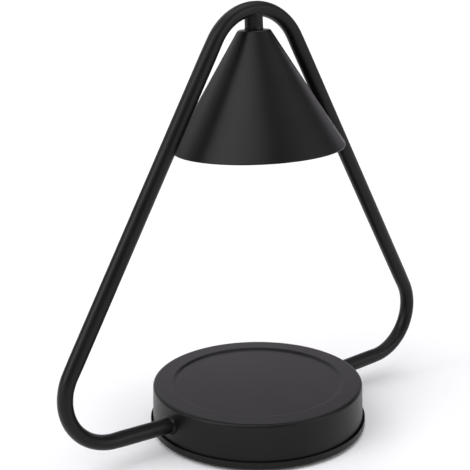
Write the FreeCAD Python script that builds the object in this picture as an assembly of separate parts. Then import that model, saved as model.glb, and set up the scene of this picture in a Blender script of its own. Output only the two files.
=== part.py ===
import FreeCAD, Part
import math
import os

from FreeCAD import Vector

# Candle warmer lamp: a steel base drum with a candle seat, a bent tube frame whose two ends
# are clamped in the drum, and a cone shade with a twist-lock bulb hung from the frame's top.
# Millimetres and degrees. The lamp stands on z = 0, the tube lies in the XZ plane and the
# middle of the base is on the Z axis.

# Base drum
CAP_R = 69.9
CAP_DRAFT = 0.75
CAP_T = 1.0
CAP_EDGE_R = 2.0
CAP_FOOT_GAP = 0.05
BASE_H = 28.5
SEAT_RING_W = 13.05
SEAT_SLOPE = 1.2
SEAT_DEPTH = 1.1
SEAT_BLEND_R = 1.5

# Tray under the drum
TRAY_GAP = 0.1
TRAY_BEND_R = 0.6
TRAY_T = 0.8
TRAY_RIM_H = 4.9
TRAY_LIP_R = 0.3

# Rubber feet
FOOT_D = 14.0
FOOT_T = 1.7
FOOT_INSET = 15.0
FOOT_EDGE_R = 0.5
FOOT_COUNT = 4

# Tube frame
FRAME_WIDTH = 292.0
FRAME_HEIGHT = 275.5
ENTRY_H = 16.2
LEG_SLOPE = 2.5
BOTTOM_BEND_R = 32.8
TOP_BEND_R = 35.3
TUBE_D = 10.0
TUBE_T = 1.0
TUBE_STICK_OUT = 2.0

# What clamps a tube end in the drum
COLLAR_D = 13.5
COLLAR_T = 1.6
COLLAR_EDGE_R = 1.3
TUBE_WASHER_D = 16.0
TUBE_WASHER_T = 1.0
TUBE_NUT_FLATS = 14.0
TUBE_NUT_T = 3.0
BUSH_FLANGE_D = 11.5
BUSH_FLANGE_T = 1.0
BUSH_LENGTH = 7.0
BUSH_BORE = 6.4

# Bridge across the inside of the drum
BRIDGE_W = 24.0
BRIDGE_T = 1.5
BRIDGE_GAP = 0.15
BRIDGE_EAR_DROP = 1.5
BRIDGE_SCREW_INSET = 28.0

# M3 machine screws
SCREW_D = 3.0
SCREW_HEAD_D = 5.6
SCREW_HEAD_H = 1.5
SCREW_HEAD_R = 0.5
SCREW_PAST_NUT = 1.0
SCREW_SLOT_W = 0.8
SCREW_SLOT_DEPTH = 0.8

# Cord inlet in the rear of the drum
INLET_BORE = 6.6
INLET_SHANK_D = 10.0
INLET_FLANGE_D = 13.0
INLET_FLANGE_T = 2.2
INLET_FLANGE_R = 0.8
INLET_ABOVE_RIM = 1.9
INLET_NUT_FLATS = 13.0
INLET_NUT_T = 3.0
INLET_PAST_NUT = 1.5

# Terminal block on the bridge
BLOCK_LENGTH = 18.0
BLOCK_HEIGHT = 11.0
BLOCK_PITCH = 5.0
BLOCK_SIDE_WALL = 3.0
BLOCK_TERMINAL_H = 5.0
BLOCK_TAB_LENGTH = 8.0
BLOCK_TAB_T = 3.0
CLAMP_WALL = 0.45
CLAMP_LENGTH = 14.0
CLAMP_SCREW_D = 2.4
CLAMP_SCREW_SPREAD = 8.0
CLAMP_SCREW_SINK = 1.0

# Leads from the block to the lamp holder
LEAD_D = 1.8
LEAD_SPACING = 4.0
LEAD_DROP_R = 5.5
LEAD_IN_CLAMP = 3.0
LEAD_STRAIGHT = 9.0
LEAD_FLAT_R = 25.0
LEAD_RISE_R = 50.0
LEAD_RISE_RUN = 24.0
LEAD_HOLE_D = 7.0

# Stem that hangs the shade
BOSS_D = 11.2
BOSS_WRAP = 2.5
STEM_GAP = 7.4
NIPPLE_D = 8.0
NIPPLE_BORE = 6.0
NIPPLE_HEADROOM = 1.0
NIPPLE_PAST_NUT = 1.0
STEM_WASHER_D = 13.0
STEM_WASHER_T = 0.8
STEM_NUT_FLATS = 12.0
STEM_NUT_T = 3.0

# Shade
SHADE_LENGTH = 72.2
SHADE_TOP_R = 9.9
SHADE_RIM_R = 54.7
SHADE_T = 0.8
SHADE_EDGE_R = 1.0
HEM_H = 4.0
HEM_T = 0.8
HEM_EDGE_R = 0.6

# Bracket and twist-lock lamp holder
BRACKET_T = 1.2
BRACKET_W = 10.0
BRACKET_NUT_GAP = 0.3
BRACKET_FOOT = 4.0
HOLDER_R = 14.2
HOLDER_H = 17.0
HOLDER_EDGE_R = 1.0
HOLDER_GAP = 1.0
HOLDER_FACE_T = 2.5
HOLDER_SCREW_RECESS = 5.0
HOLDER_LEAD_BORE = 2.3
CONTACT_T = 0.5
CONTACT_W = 4.0
CONTACT_H = 3.4
CONTACT_REACH = 2.8

# Bulb with two headed pins
BULB_TWIST = 35.0
PIN_CIRCLE_R = 5.0
PIN_SHANK_D = 3.0
PIN_HEAD_D = 5.0
PIN_HEAD_H = 3.0
PIN_HEAD_R = 0.6
PIN_ROOT = 7.0
BULB_LENGTH = 45.0
BULB_R = 24.8
BULB_BASE_R = 12.4
BULB_BASE_H = 14.0
BULB_BASE_EDGE_R = 1.5
BULB_NECK_R = 9.4
BULB_NECK_H = 5.0
BULB_RIM_H = 6.0
BULB_SHOULDER = 7.0
BULB_SHOULDER_R = 10.0
BULB_BELL_R = 16.0
BULB_GLASS_T = 1.6
LENS_T = 2.0
LENS_SINK = 0.3
LENS_EDGE_R = 0.5
CAPSULE_R = 4.5
CAPSULE_H = 18.0
CAPSULE_T = 0.8
PINCH_W = 9.0
PINCH_T = 3.4
FILAMENT_D = 1.4
FILAMENT_W = 5.0
FILAMENT_LEG_D = 0.5
FILAMENT_DROP = 8.0

# Named clearances, all on the radius or between two faces
THREAD_FIT = 0.02
SEAT_FIT = 0.02
BORE_FIT = 0.1
HOLE_FIT = 0.2
TURN_FIT = 0.3
CONTACT_FIT = 0.1
LEDGE_FIT = 0.05
TINY = 1e-6

# Levels that the driving dimensions give
TRAY_R = CAP_R + TRAY_GAP + TRAY_BEND_R + TRAY_T
Z_TRAY = FOOT_T
Z_FLOOR = Z_TRAY + TRAY_T
Z_CAP_FOOT = Z_FLOOR + CAP_FOOT_GAP
Z_CAP_TOP = Z_TRAY + BASE_H
Z_SEAT = Z_CAP_TOP - SEAT_DEPTH
Z_ENTRY = Z_TRAY + ENTRY_H
Z_STRIP = Z_FLOOR + BRIDGE_T
SLOPE = math.radians(LEG_SLOPE)
UP = Vector(0, 0, 1)
DOWN = Vector(0, 0, -1)


# ---------------------------------------------------------------- shape helpers

def at(r, z):
    """A point of a profile in the XZ plane."""
    return Vector(r, 0, z)


def rounded_edges(points, radii, closed=False):
    """Straight edges through the points, with a tangent arc at each corner that has a radius."""
    count = len(points)
    corners = []
    for index, (corner, radius) in enumerate(zip(points, radii)):
        is_end = not closed and index in (0, count - 1)
        if is_end or radius <= 0:
            corners.append((corner, corner, None))
            continue
        arrive = (corner - points[index - 1]).normalize()
        leave = (points[(index + 1) % count] - corner).normalize()
        half_turn = arrive.getAngle(leave) / 2
        inward = (leave - arrive).normalize()
        setback = radius * math.tan(half_turn)
        middle = corner + inward * (radius / math.cos(half_turn) - radius)
        corners.append((corner - arrive * setback, corner + leave * setback, middle))
    edges = []
    for index, (first, last, middle) in enumerate(corners):
        if middle is not None:
            edges.append(Part.Arc(first, middle, last).toShape())
        if index + 1 == count and not closed:
            break
        following = corners[(index + 1) % count][0]
        if last.distanceToPoint(following) > TINY:
            edges.append(Part.LineSegment(last, following).toShape())
    return edges


def turned(points, radii):
    """A solid of revolution about Z from a closed profile with rounded corners."""
    wire = Part.Wire(rounded_edges(points, radii, closed=True))
    return Part.Face(wire).revolve(Vector(), UP, 360)


def offset_points(points, distance):
    """The points moved to the right of their path by one distance, corners mitred."""
    rights = []
    for first, second in zip(points, points[1:]):
        along_run = (second - first).normalize()
        rights.append(Vector(along_run.z, 0, -along_run.x))
    moved = [points[0] + rights[0] * distance]
    for corner, before, after in zip(points[1:], rights, rights[1:]):
        mitre = (before + after).normalize()
        moved.append(corner + mitre * (distance / mitre.dot(before)))
    moved.append(points[-1] + rights[-1] * distance)
    return moved


def sheet_turned(points, radii, thickness):
    """A sheet of even thickness turned about Z: the points give the face on its left side."""
    inner_radii = []
    for index, radius in enumerate(radii):
        if index in (0, len(radii) - 1) or radius <= 0:
            inner_radii.append(0)
            continue
        arrive = points[index] - points[index - 1]
        leave = points[index + 1] - points[index]
        turns_right = arrive.z * leave.x - arrive.x * leave.z > 0
        inner_radii.append(radius - thickness if turns_right else radius + thickness)
    inner = offset_points(points, thickness)
    outline = list(points) + inner[::-1]
    wire = Part.Wire(rounded_edges(outline, list(radii) + inner_radii[::-1], closed=True))
    return Part.Face(wire).revolve(Vector(), UP, 360)


def along(shape, origin, direction):
    """A shape made on +Z from the origin, set at a point with its +Z turned to a direction."""
    placed = shape.copy()
    placed.Placement = FreeCAD.Placement(origin, FreeCAD.Rotation(UP, direction))
    return placed


def tube(outer_r, inner_r, length):
    """A plain ring or tube on +Z."""
    return Part.makeCylinder(outer_r, length).cut(Part.makeCylinder(inner_r, length))


def hex_nut(across_flats, thickness, bore_r):
    """A hexagon nut on +Z with its corners turned off a little."""
    corner_r = across_flats / math.sqrt(3)
    corners = [Vector(corner_r, 0, 0)]
    for step in range(1, 7):
        corners.append(FreeCAD.Rotation(UP, 60 * step).multVec(corners[0]))
    prism = Part.Face(Part.makePolygon(corners)).extrude(Vector(0, 0, thickness))
    chamfer = corner_r - across_flats / 2
    outline = [at(0, 0), at(across_flats / 2, 0), at(corner_r, chamfer),
               at(corner_r, thickness - chamfer), at(across_flats / 2, thickness), at(0, thickness)]
    blank = prism.common(turned(outline, [0] * len(outline)))
    return blank.cut(Part.makeCylinder(bore_r, thickness))


def box_between(low, high):
    """A box from its lowest corner to its highest."""
    size = high - low
    return Part.makeBox(size.x, size.y, size.z, low)


def pan_screw(length):
    """An M3 screw: shank on +Z from the seat of its head, head below the seat."""
    head_r = SCREW_HEAD_D / 2
    head = turned([at(0, 0), at(head_r, 0), at(head_r, -SCREW_HEAD_H), at(0, -SCREW_HEAD_H)],
                  [0, 0, SCREW_HEAD_R, 0])
    screw = head.fuse(Part.makeCylinder(SCREW_D / 2, length))
    reach = head_r - SCREW_HEAD_R - SCREW_SLOT_W
    half = SCREW_SLOT_W / 2
    top = -SCREW_HEAD_H + SCREW_SLOT_DEPTH
    for half_x, half_y in ((reach, half), (half, reach)):
        slot = box_between(Vector(-half_x, -half_y, -SCREW_HEAD_H), Vector(half_x, half_y, top))
        screw = screw.cut(slot)
    return screw.removeSplitter()


def bent_rod(points, bend_radii, radius):
    """A round rod along a path in an XZ plane: straight runs joined by tangent arcs."""
    pieces = []
    start = points[0]
    for before, corner, after, bend in zip(points, points[1:], points[2:], bend_radii):
        arrive = (corner - before).normalize()
        leave = (after - corner).normalize()
        turn = arrive.getAngle(leave)
        setback = bend * math.tan(turn / 2)
        arc_start = corner - arrive * setback
        pieces.append((start, arc_start))
        axis = arrive.cross(leave).normalize()
        centre = arc_start + axis.cross(arrive) * bend
        section = Part.Face(Part.Wire(Part.makeCircle(radius, arc_start, arrive)))
        pieces.append(section.revolve(centre, axis, math.degrees(turn)))
        start = corner + leave * setback
    pieces.append((start, points[-1]))
    solids = []
    for piece in pieces:
        if not isinstance(piece, tuple):
            solids.append(piece)
            continue
        run = piece[1] - piece[0]
        if run.Length > TINY:
            solids.append(Part.makeCylinder(radius, run.Length, piece[0], run))
    return solids[0].multiFuse(solids[1:]).removeSplitter()


def group(solids):
    """Separate solids kept together in one node."""
    return Part.makeCompound(list(solids))


# ---------------------------------------------------------------- shared places

def cap_radius(z):
    """The radius of the drum's outer wall at a height."""
    share = (z - Z_CAP_FOOT) / (Z_CAP_TOP - Z_CAP_FOOT)
    return CAP_R - CAP_DRAFT * share


def ear_radius():
    """The radius of the outer face of the bridge's ears."""
    return CAP_R - CAP_DRAFT - CAP_T - BRIDGE_GAP


def outward(side):
    """The direction of the tube's leg as it leaves the drum, on the +X or the -X side."""
    return Vector(side * math.cos(SLOPE), 0, math.sin(SLOPE))


def entry_point(side, depth):
    """A point on the leg's axis at a depth inside the drum's wall."""
    wall = Vector(side * cap_radius(Z_ENTRY), 0, Z_ENTRY)
    return wall - outward(side) * depth


def flat_on_hollow(hollow_r, half_width):
    """How far a flat face stands off the bottom of a round hollow that it bridges."""
    return hollow_r - math.sqrt(hollow_r ** 2 - half_width ** 2)


def washer_depth():
    """The depth of the tube washer's outer face, where its rim meets the ear."""
    hollow_r = ear_radius() - BRIDGE_T
    lean = TUBE_WASHER_D / 2 * math.sin(SLOPE)
    return cap_radius(Z_ENTRY) - hollow_r + flat_on_hollow(hollow_r, TUBE_WASHER_D / 2) + lean


def tube_end_depth():
    """The depth of the tube's cut end inside the drum."""
    return washer_depth() + TUBE_WASHER_T + TUBE_NUT_T + TUBE_STICK_OUT


def lines_meet(first, first_way, second, second_way):
    """The point where two lines of the XZ plane meet."""
    across = first_way.x * second_way.z - first_way.z * second_way.x
    gap = second - first
    reach = (gap.x * second_way.z - gap.z * second_way.x) / across
    return first + first_way * reach


def side_line():
    """A point and the upward direction of the frame's straight side, on the +X side."""
    low_x = FRAME_WIDTH / 2 - TUBE_D / 2 - BOTTOM_BEND_R
    leg_z = Z_ENTRY + (low_x - cap_radius(Z_ENTRY)) * math.tan(SLOPE)
    low_centre = at(low_x, leg_z + BOTTOM_BEND_R / math.cos(SLOPE))
    rise = at(0, top_bend_z()) - low_centre
    heading = math.atan2(rise.z, rise.x)
    heading -= math.asin((TOP_BEND_R - BOTTOM_BEND_R) / rise.Length)
    left = at(-math.sin(heading), math.cos(heading))
    return low_centre - left * BOTTOM_BEND_R, at(math.cos(heading), math.sin(heading))


def top_bend_z():
    """The height of the middle of the frame's top bend."""
    return FRAME_HEIGHT - TUBE_D / 2 - TOP_BEND_R


def low_corner(side):
    """The corner where the lines of a leg and of a side meet."""
    start, way = side_line()
    corner = lines_meet(entry_point(1, 0), outward(1), start, way)
    return Vector(side * corner.x, 0, corner.z)


def top_corner():
    """The corner where the lines of the two sides meet."""
    start, way = side_line()
    return lines_meet(start, way, Vector(), UP)


def tube_underside():
    """The height of the tube's underside at the top of the frame."""
    return FRAME_HEIGHT - TUBE_D


def shade_top():
    """The height of the shade's flat top, where the boss seats."""
    return tube_underside() - STEM_GAP


def shade_slope():
    """The shade's growth in radius for each millimetre down."""
    return (SHADE_RIM_R - SHADE_TOP_R) / SHADE_LENGTH


def bracket_top():
    """The height of the bracket's top, under the washer inside the shade."""
    return shade_top() - SHADE_T - STEM_WASHER_T


def stem_nut_top():
    """The height of the top of the nut inside the shade."""
    return bracket_top() - BRACKET_T


def nipple_end():
    """The height of the lower end of the threaded stem."""
    return stem_nut_top() - STEM_NUT_T - NIPPLE_PAST_NUT


def holder_top():
    """The height of the holder's top, as high as the shade's cone lets it go."""
    sheet = SHADE_T * math.hypot(1, shade_slope())
    drop = (HOLDER_R + HOLDER_GAP + sheet - SHADE_TOP_R) / shade_slope()
    return shade_top() - drop


def holder_face():
    """The height of the holder's lower face."""
    return holder_top() - HOLDER_H


def ledge_z():
    """The height of the ledge that carries the bulb's pin heads."""
    return holder_face() + HOLDER_FACE_T


def pin_head_z():
    """The height of the underside of the bulb's pin heads."""
    return ledge_z() + LEDGE_FIT


def contact_foot_z():
    """The height of the underside of the contact's foot."""
    return pin_head_z() + PIN_HEAD_H + CONTACT_FIT


def bracket_arm_x():
    """The outer face of the bracket's arms, which clear the nut's corners."""
    return STEM_NUT_FLATS / math.sqrt(3) + BRACKET_NUT_GAP + BRACKET_T


def holder_screw_x():
    """The middle of the bracket's feet, where the holder's screws are."""
    return bracket_arm_x() + BRACKET_FOOT / 2


def bulb_top():
    """The height of the top of the bulb's base."""
    return holder_face() - TURN_FIT


def inlet_z():
    """The height of the cord inlet, clear of the tray's rim."""
    return Z_TRAY + TRAY_RIM_H + INLET_ABOVE_RIM + INLET_FLANGE_D / 2


def block_z():
    """The height of the terminal block's wire holes."""
    return Z_STRIP + BLOCK_TERMINAL_H


def block_screw_x():
    """The middle of the tab that holds the terminal block."""
    return BLOCK_LENGTH / 2 + BLOCK_TAB_LENGTH / 2


def clamp_bore_r():
    """The radius of a terminal's wire hole, which takes a lead that lies off its middle."""
    return LEAD_D / 2 + (BLOCK_PITCH - LEAD_SPACING) / 2 + BORE_FIT


def bridge_screw_x():
    """The distance of the tray screws from the middle of the base."""
    return CAP_R - BRIDGE_SCREW_INSET


def drum_envelope(grow):
    """The drum's outside as one solid, a little larger all round."""
    return Part.makeCone(CAP_R + grow, CAP_R - CAP_DRAFT + grow, Z_CAP_TOP - Z_CAP_FOOT,
                         at(0, Z_CAP_FOOT))


# ---------------------------------------------------------------- base

def base_cap():
    """The drawn drum with its candle seat, the two tube holes and the cord hole."""
    seat_r = CAP_R - CAP_DRAFT - SEAT_RING_W
    cap = sheet_turned(
        [at(0, Z_SEAT), at(seat_r - SEAT_SLOPE, Z_SEAT), at(seat_r, Z_CAP_TOP),
         at(CAP_R - CAP_DRAFT, Z_CAP_TOP), at(CAP_R, Z_CAP_FOOT)],
        [0, SEAT_BLEND_R, SEAT_BLEND_R, CAP_EDGE_R, 0], CAP_T)
    for side in (-1, 1):
        hole = Part.makeCylinder(TUBE_D / 2 + HOLE_FIT, CAP_R / 2)
        cap = cap.cut(along(hole, entry_point(side, CAP_R / 4), outward(side)))
    cord_hole = Part.makeCylinder(INLET_SHANK_D / 2 + HOLE_FIT, CAP_R, at(0, inlet_z()),
                                  Vector(0, 1, 0))
    return cap.cut(cord_hole)


def base_tray():
    """The pan that closes the drum from below, with an upturned rim."""
    lip = at(TRAY_R, Z_TRAY + TRAY_RIM_H)
    pan = turned(
        [at(0, Z_TRAY), at(TRAY_R, Z_TRAY), lip, lip - at(TRAY_T, 0),
         at(TRAY_R - TRAY_T, Z_FLOOR), at(0, Z_FLOOR)],
        [0, TRAY_BEND_R + TRAY_T, TRAY_LIP_R, TRAY_LIP_R, TRAY_BEND_R, 0])
    for side in (-1, 1):
        hole = Part.makeCylinder(SCREW_D / 2 + HOLE_FIT, TRAY_T, at(side * bridge_screw_x(), Z_TRAY))
        pan = pan.cut(hole)
    return pan


def base_bridge():
    """The strip across the drum, with an ear that follows the wall behind each tube hole."""
    top = Z_CAP_TOP - SEAT_DEPTH - CAP_T - BRIDGE_EAR_DROP
    height = top - Z_FLOOR
    half = BRIDGE_W / 2
    blank = Part.makeCylinder(ear_radius(), height, at(0, Z_FLOOR))
    blank = blank.common(box_between(Vector(-CAP_R, -half, Z_FLOOR), Vector(CAP_R, half, top)))
    bridge = blank.cut(Part.makeCylinder(ear_radius() - BRIDGE_T, height, at(0, Z_STRIP)))
    for side in (-1, 1):
        hole = Part.makeCylinder(TUBE_D / 2 + HOLE_FIT, CAP_R / 2)
        bridge = bridge.cut(along(hole, entry_point(side, CAP_R / 4), outward(side)))
    for x in (-bridge_screw_x(), bridge_screw_x(), block_screw_x()):
        bridge = bridge.cut(Part.makeCylinder(SCREW_D / 2 + THREAD_FIT, BRIDGE_T, at(x, Z_FLOOR)))
    return bridge


def tray_screws():
    """The screws that hold the tray to the bridge."""
    length = TRAY_T + BRIDGE_T + SCREW_PAST_NUT
    return group(along(pan_screw(length), at(side * bridge_screw_x(), Z_TRAY), UP)
                 for side in (-1, 1))


def foot_pads():
    """The rubber pads under the tray."""
    radius = FOOT_D / 2
    pad = turned([at(0, 0), at(radius, 0), at(radius, FOOT_T), at(0, FOOT_T)],
                 [0, FOOT_EDGE_R, 0, 0])
    pads = []
    for step in range(FOOT_COUNT):
        turn = FreeCAD.Rotation(UP, 360 * (step + 0.5) / FOOT_COUNT)
        pads.append(along(pad, turn.multVec(Vector(TRAY_R - FOOT_INSET, 0, 0)), UP))
    return group(pads)


def cord_bushing():
    """The cord inlet: a flanged bushing through the rear wall, with a round bore."""
    wall = cap_radius(inlet_z())
    bore_r = INLET_BORE / 2
    shank_r = INLET_SHANK_D / 2
    flange_r = INLET_FLANGE_D / 2
    inner_y = inlet_nut_y() - INLET_NUT_T - INLET_PAST_NUT
    shank_end = wall + INLET_FLANGE_T - inner_y
    seat = INLET_FLANGE_T + CAP_T / 2
    bushing = turned(
        [at(bore_r, 0), at(flange_r, 0), at(flange_r, seat), at(shank_r, seat),
         at(shank_r, shank_end), at(bore_r, shank_end)],
        [INLET_FLANGE_R, INLET_FLANGE_R, 0, 0, 0, 0])
    placed = along(bushing, Vector(0, wall + INLET_FLANGE_T, inlet_z()), Vector(0, -1, 0))
    shank = Part.makeCylinder(shank_r, shank_end, Vector(0, inner_y, inlet_z()), Vector(0, 1, 0))
    return placed.cut(drum_envelope(SEAT_FIT).cut(shank))


def inlet_nut_y():
    """The outer face of the inlet's nut, where its corners meet the drum's wall."""
    hollow_r = CAP_R - CAP_DRAFT - CAP_T
    return hollow_r - flat_on_hollow(hollow_r, INLET_NUT_FLATS / math.sqrt(3))


def bushing_nut():
    """The nut that holds the cord bushing from inside the drum."""
    nut = hex_nut(INLET_NUT_FLATS, INLET_NUT_T, INLET_SHANK_D / 2 + THREAD_FIT)
    return along(nut, Vector(0, inlet_nut_y(), inlet_z()), Vector(0, -1, 0))


# ---------------------------------------------------------------- tube frame

def frame_tube():
    """The one-piece bent tube, with the hole in its underside that passes the leads."""
    points = [entry_point(-1, tube_end_depth()), low_corner(-1), top_corner(), low_corner(1),
              entry_point(1, tube_end_depth())]
    bends = [BOTTOM_BEND_R, TOP_BEND_R, BOTTOM_BEND_R]
    outside = bent_rod(points, bends, TUBE_D / 2)
    inside = bent_rod(points, bends, TUBE_D / 2 - TUBE_T)
    lead_hole = Part.makeCylinder(LEAD_HOLE_D / 2, TUBE_D, at(0, tube_underside() - TUBE_D / 2))
    return outside.cut(inside).cut(lead_hole)


def tube_collars():
    """The rings that seat on the drum where the tube goes in."""
    outer_r = COLLAR_D / 2
    bore_r = TUBE_D / 2 + THREAD_FIT
    length = COLLAR_T + CAP_T
    ring = turned([at(bore_r, 0), at(outer_r, 0), at(outer_r, length), at(bore_r, length)],
                  [0, COLLAR_EDGE_R, 0, 0])
    envelope = drum_envelope(SEAT_FIT)
    return group(along(ring, entry_point(side, -COLLAR_T), -outward(side)).cut(envelope)
                 for side in (-1, 1))


def tube_washers():
    """The washers between the bridge's ears and the locknuts."""
    washer = tube(TUBE_WASHER_D / 2, TUBE_D / 2 + HOLE_FIT, TUBE_WASHER_T)
    return group(along(washer, entry_point(side, washer_depth()), -outward(side))
                 for side in (-1, 1))


def tube_locknuts():
    """The thin nuts on the threaded ends of the tube."""
    nut = hex_nut(TUBE_NUT_FLATS, TUBE_NUT_T, TUBE_D / 2 + THREAD_FIT)
    depth = washer_depth() + TUBE_WASHER_T
    return group(along(nut, entry_point(side, depth), -outward(side)) for side in (-1, 1))


def tube_end_bush():
    """The plastic bush that keeps the leads off the cut edge of the wired tube end."""
    bore_r = BUSH_BORE / 2
    sleeve_r = TUBE_D / 2 - TUBE_T - THREAD_FIT
    flange_r = BUSH_FLANGE_D / 2
    bush = turned(
        [at(bore_r, -BUSH_FLANGE_T), at(flange_r, -BUSH_FLANGE_T), at(flange_r, 0),
         at(sleeve_r, 0), at(sleeve_r, BUSH_LENGTH), at(bore_r, BUSH_LENGTH)],
        [BUSH_FLANGE_T / 2, BUSH_FLANGE_T / 3, 0, 0, 0, 0])
    return along(bush, entry_point(-1, tube_end_depth()), outward(-1))


def stem_boss():
    """The round boss welded under the frame's top, with a threaded bore for the stem."""
    top = tube_underside() + BOSS_WRAP
    height = top - shade_top()
    thread_h = tube_underside() - NIPPLE_HEADROOM - shade_top()
    boss = Part.makeCylinder(BOSS_D / 2, height, at(0, shade_top()))
    boss = boss.cut(Part.makeCylinder(NIPPLE_D / 2 + THREAD_FIT, thread_h, at(0, shade_top())))
    boss = boss.cut(Part.makeCylinder(LEAD_HOLE_D / 2, height, at(0, shade_top())))
    bend_centre = at(0, top_bend_z())
    section = Part.makeCircle(TUBE_D / 2, at(0, FRAME_HEIGHT - TUBE_D / 2), Vector(1, 0, 0))
    bend = Part.Face(Part.Wire(section)).revolve(bend_centre, Vector(0, 1, 0), 360)
    return boss.cut(bend)


# ---------------------------------------------------------------- wiring in the base

def block_half_width():
    """Half the width of the terminal block."""
    return BLOCK_PITCH / 2 + clamp_bore_r() + CLAMP_WALL + BLOCK_SIDE_WALL


def terminal_block():
    """The two-pole block on the bridge, with a screw tab at one end."""
    half = block_half_width()
    body = box_between(Vector(-BLOCK_LENGTH / 2, -half, Z_STRIP),
                       Vector(BLOCK_LENGTH / 2, half, Z_STRIP + BLOCK_HEIGHT))
    tab = box_between(Vector(BLOCK_LENGTH / 2, -half, Z_STRIP),
                      Vector(BLOCK_LENGTH / 2 + BLOCK_TAB_LENGTH, half, Z_STRIP + BLOCK_TAB_T))
    block = body.fuse(tab).removeSplitter()
    block = block.cut(Part.makeCylinder(SCREW_D / 2 + HOLE_FIT, BLOCK_TAB_T,
                                        at(block_screw_x(), Z_STRIP)))
    clamp_r = clamp_bore_r() + CLAMP_WALL + THREAD_FIT
    for y in (-BLOCK_PITCH / 2, BLOCK_PITCH / 2):
        block = block.cut(Part.makeCylinder(clamp_r, BLOCK_LENGTH,
                                            Vector(-BLOCK_LENGTH / 2, y, block_z()),
                                            Vector(1, 0, 0)))
        for x in (-CLAMP_SCREW_SPREAD / 2, CLAMP_SCREW_SPREAD / 2):
            block = block.cut(Part.makeCylinder(CLAMP_SCREW_D / 2 + BORE_FIT, BLOCK_HEIGHT,
                                                Vector(x, y, block_z())))
    return block


def terminal_clamps():
    """The brass tubes in the block, tapped for their screws."""
    clamps = []
    bore_r = clamp_bore_r()
    for y in (-BLOCK_PITCH / 2, BLOCK_PITCH / 2):
        clamp = along(tube(bore_r + CLAMP_WALL, bore_r, CLAMP_LENGTH),
                      Vector(-CLAMP_LENGTH / 2, y, block_z()), Vector(1, 0, 0))
        for x in (-CLAMP_SCREW_SPREAD / 2, CLAMP_SCREW_SPREAD / 2):
            clamp = clamp.cut(Part.makeCylinder(CLAMP_SCREW_D / 2 + THREAD_FIT, BLOCK_HEIGHT,
                                                Vector(x, y, block_z())))
        clamps.append(clamp)
    return group(clamps)


def terminal_screws():
    """The slotted screws in the tops of the clamps."""
    screws = []
    tip = block_z() + LEAD_D / 2 + BORE_FIT
    top = Z_STRIP + BLOCK_HEIGHT - CLAMP_SCREW_SINK
    half_slot = SCREW_SLOT_W / 2
    for y in (-BLOCK_PITCH / 2, BLOCK_PITCH / 2):
        for x in (-CLAMP_SCREW_SPREAD / 2, CLAMP_SCREW_SPREAD / 2):
            screw = Part.makeCylinder(CLAMP_SCREW_D / 2, top - tip, Vector(x, y, tip))
            slot = box_between(Vector(x - CLAMP_SCREW_D, y - half_slot, top - SCREW_SLOT_DEPTH),
                               Vector(x + CLAMP_SCREW_D, y + half_slot, top))
            screws.append(screw.cut(slot))
    return group(screws)


def block_screw():
    """The screw that holds the terminal block to the bridge."""
    length = BLOCK_TAB_T + BRIDGE_T
    return along(pan_screw(length), at(block_screw_x(), Z_STRIP + BLOCK_TAB_T), DOWN)


def lamp_leads():
    """The two insulated leads from the block through the tube and the stem to the holder."""
    face_x = -BLOCK_LENGTH / 2
    flat_end = at(face_x - LEAD_STRAIGHT, block_z())
    rise_x = flat_end.x - LEAD_RISE_RUN
    leg = entry_point(-1, 0)
    leg_way = outward(-1)
    rise_end = leg + leg_way * ((rise_x - leg.x) / leg_way.x)
    side_start, side_way = side_line()
    side_start = Vector(-side_start.x, 0, side_start.z)
    side_way = Vector(-side_way.x, 0, side_way.z)
    turn_r = TOP_BEND_R - LEAD_DROP_R
    leave = math.asin(LEAD_DROP_R / turn_r)
    level_point = at(-TOP_BEND_R * math.sin(leave), top_bend_z() + TOP_BEND_R * math.cos(leave))
    level_way = at(math.cos(leave), math.sin(leave))
    points = [
        at(face_x + LEAD_IN_CLAMP, block_z()),
        flat_end,
        rise_end,
        low_corner(-1),
        lines_meet(side_start, side_way, level_point, level_way),
        lines_meet(level_point, level_way, Vector(), UP),
        at(0, contact_foot_z() + CONTACT_H),
    ]
    bends = [LEAD_FLAT_R, LEAD_RISE_R, BOTTOM_BEND_R, TOP_BEND_R, LEAD_DROP_R]
    lead = bent_rod(points, bends, LEAD_D / 2)
    return group(along(lead, Vector(0, y, 0), UP) for y in (-LEAD_SPACING / 2, LEAD_SPACING / 2))


# ---------------------------------------------------------------- stem and shade

def stem_nipple():
    """The hollow threaded stem from the boss through the shade and the bracket."""
    top = tube_underside() - NIPPLE_HEADROOM
    return along(tube(NIPPLE_D / 2, NIPPLE_BORE / 2, top - nipple_end()), at(0, nipple_end()), UP)


def shade():
    """The spun cone shade with its flat top, centre hole and hemmed rim."""
    top = shade_top()
    hole_r = NIPPLE_D / 2 + BORE_FIT
    stretch = math.hypot(1, shade_slope())
    up_slope = at(-shade_slope(), 1)
    inner_top = at(SHADE_TOP_R + SHADE_T * (shade_slope() - stretch), top - SHADE_T)
    rim = at(SHADE_RIM_R, top - SHADE_LENGTH)
    rim_inside = rim - at((SHADE_T + HEM_T) * stretch, 0)
    hem_end = rim_inside + up_slope * HEM_H
    return turned(
        [at(hole_r, top), at(SHADE_TOP_R, top), rim, rim_inside, hem_end,
         hem_end + at(HEM_T * stretch, 0), inner_top, at(hole_r, top - SHADE_T)],
        [0, SHADE_EDGE_R + SHADE_T, HEM_EDGE_R, HEM_EDGE_R, 0, 0, SHADE_EDGE_R, 0])


def shade_washer():
    """The washer between the shade and the bracket."""
    washer = tube(STEM_WASHER_D / 2, NIPPLE_D / 2 + BORE_FIT, STEM_WASHER_T)
    return along(washer, at(0, bracket_top()), UP)


def shade_locknut():
    """The nut that clamps the shade and the bracket to the boss."""
    nut = hex_nut(STEM_NUT_FLATS, STEM_NUT_T, NIPPLE_D / 2 + THREAD_FIT)
    return along(nut, at(0, stem_nut_top() - STEM_NUT_T), UP)


# ---------------------------------------------------------------- lamp holder

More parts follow.
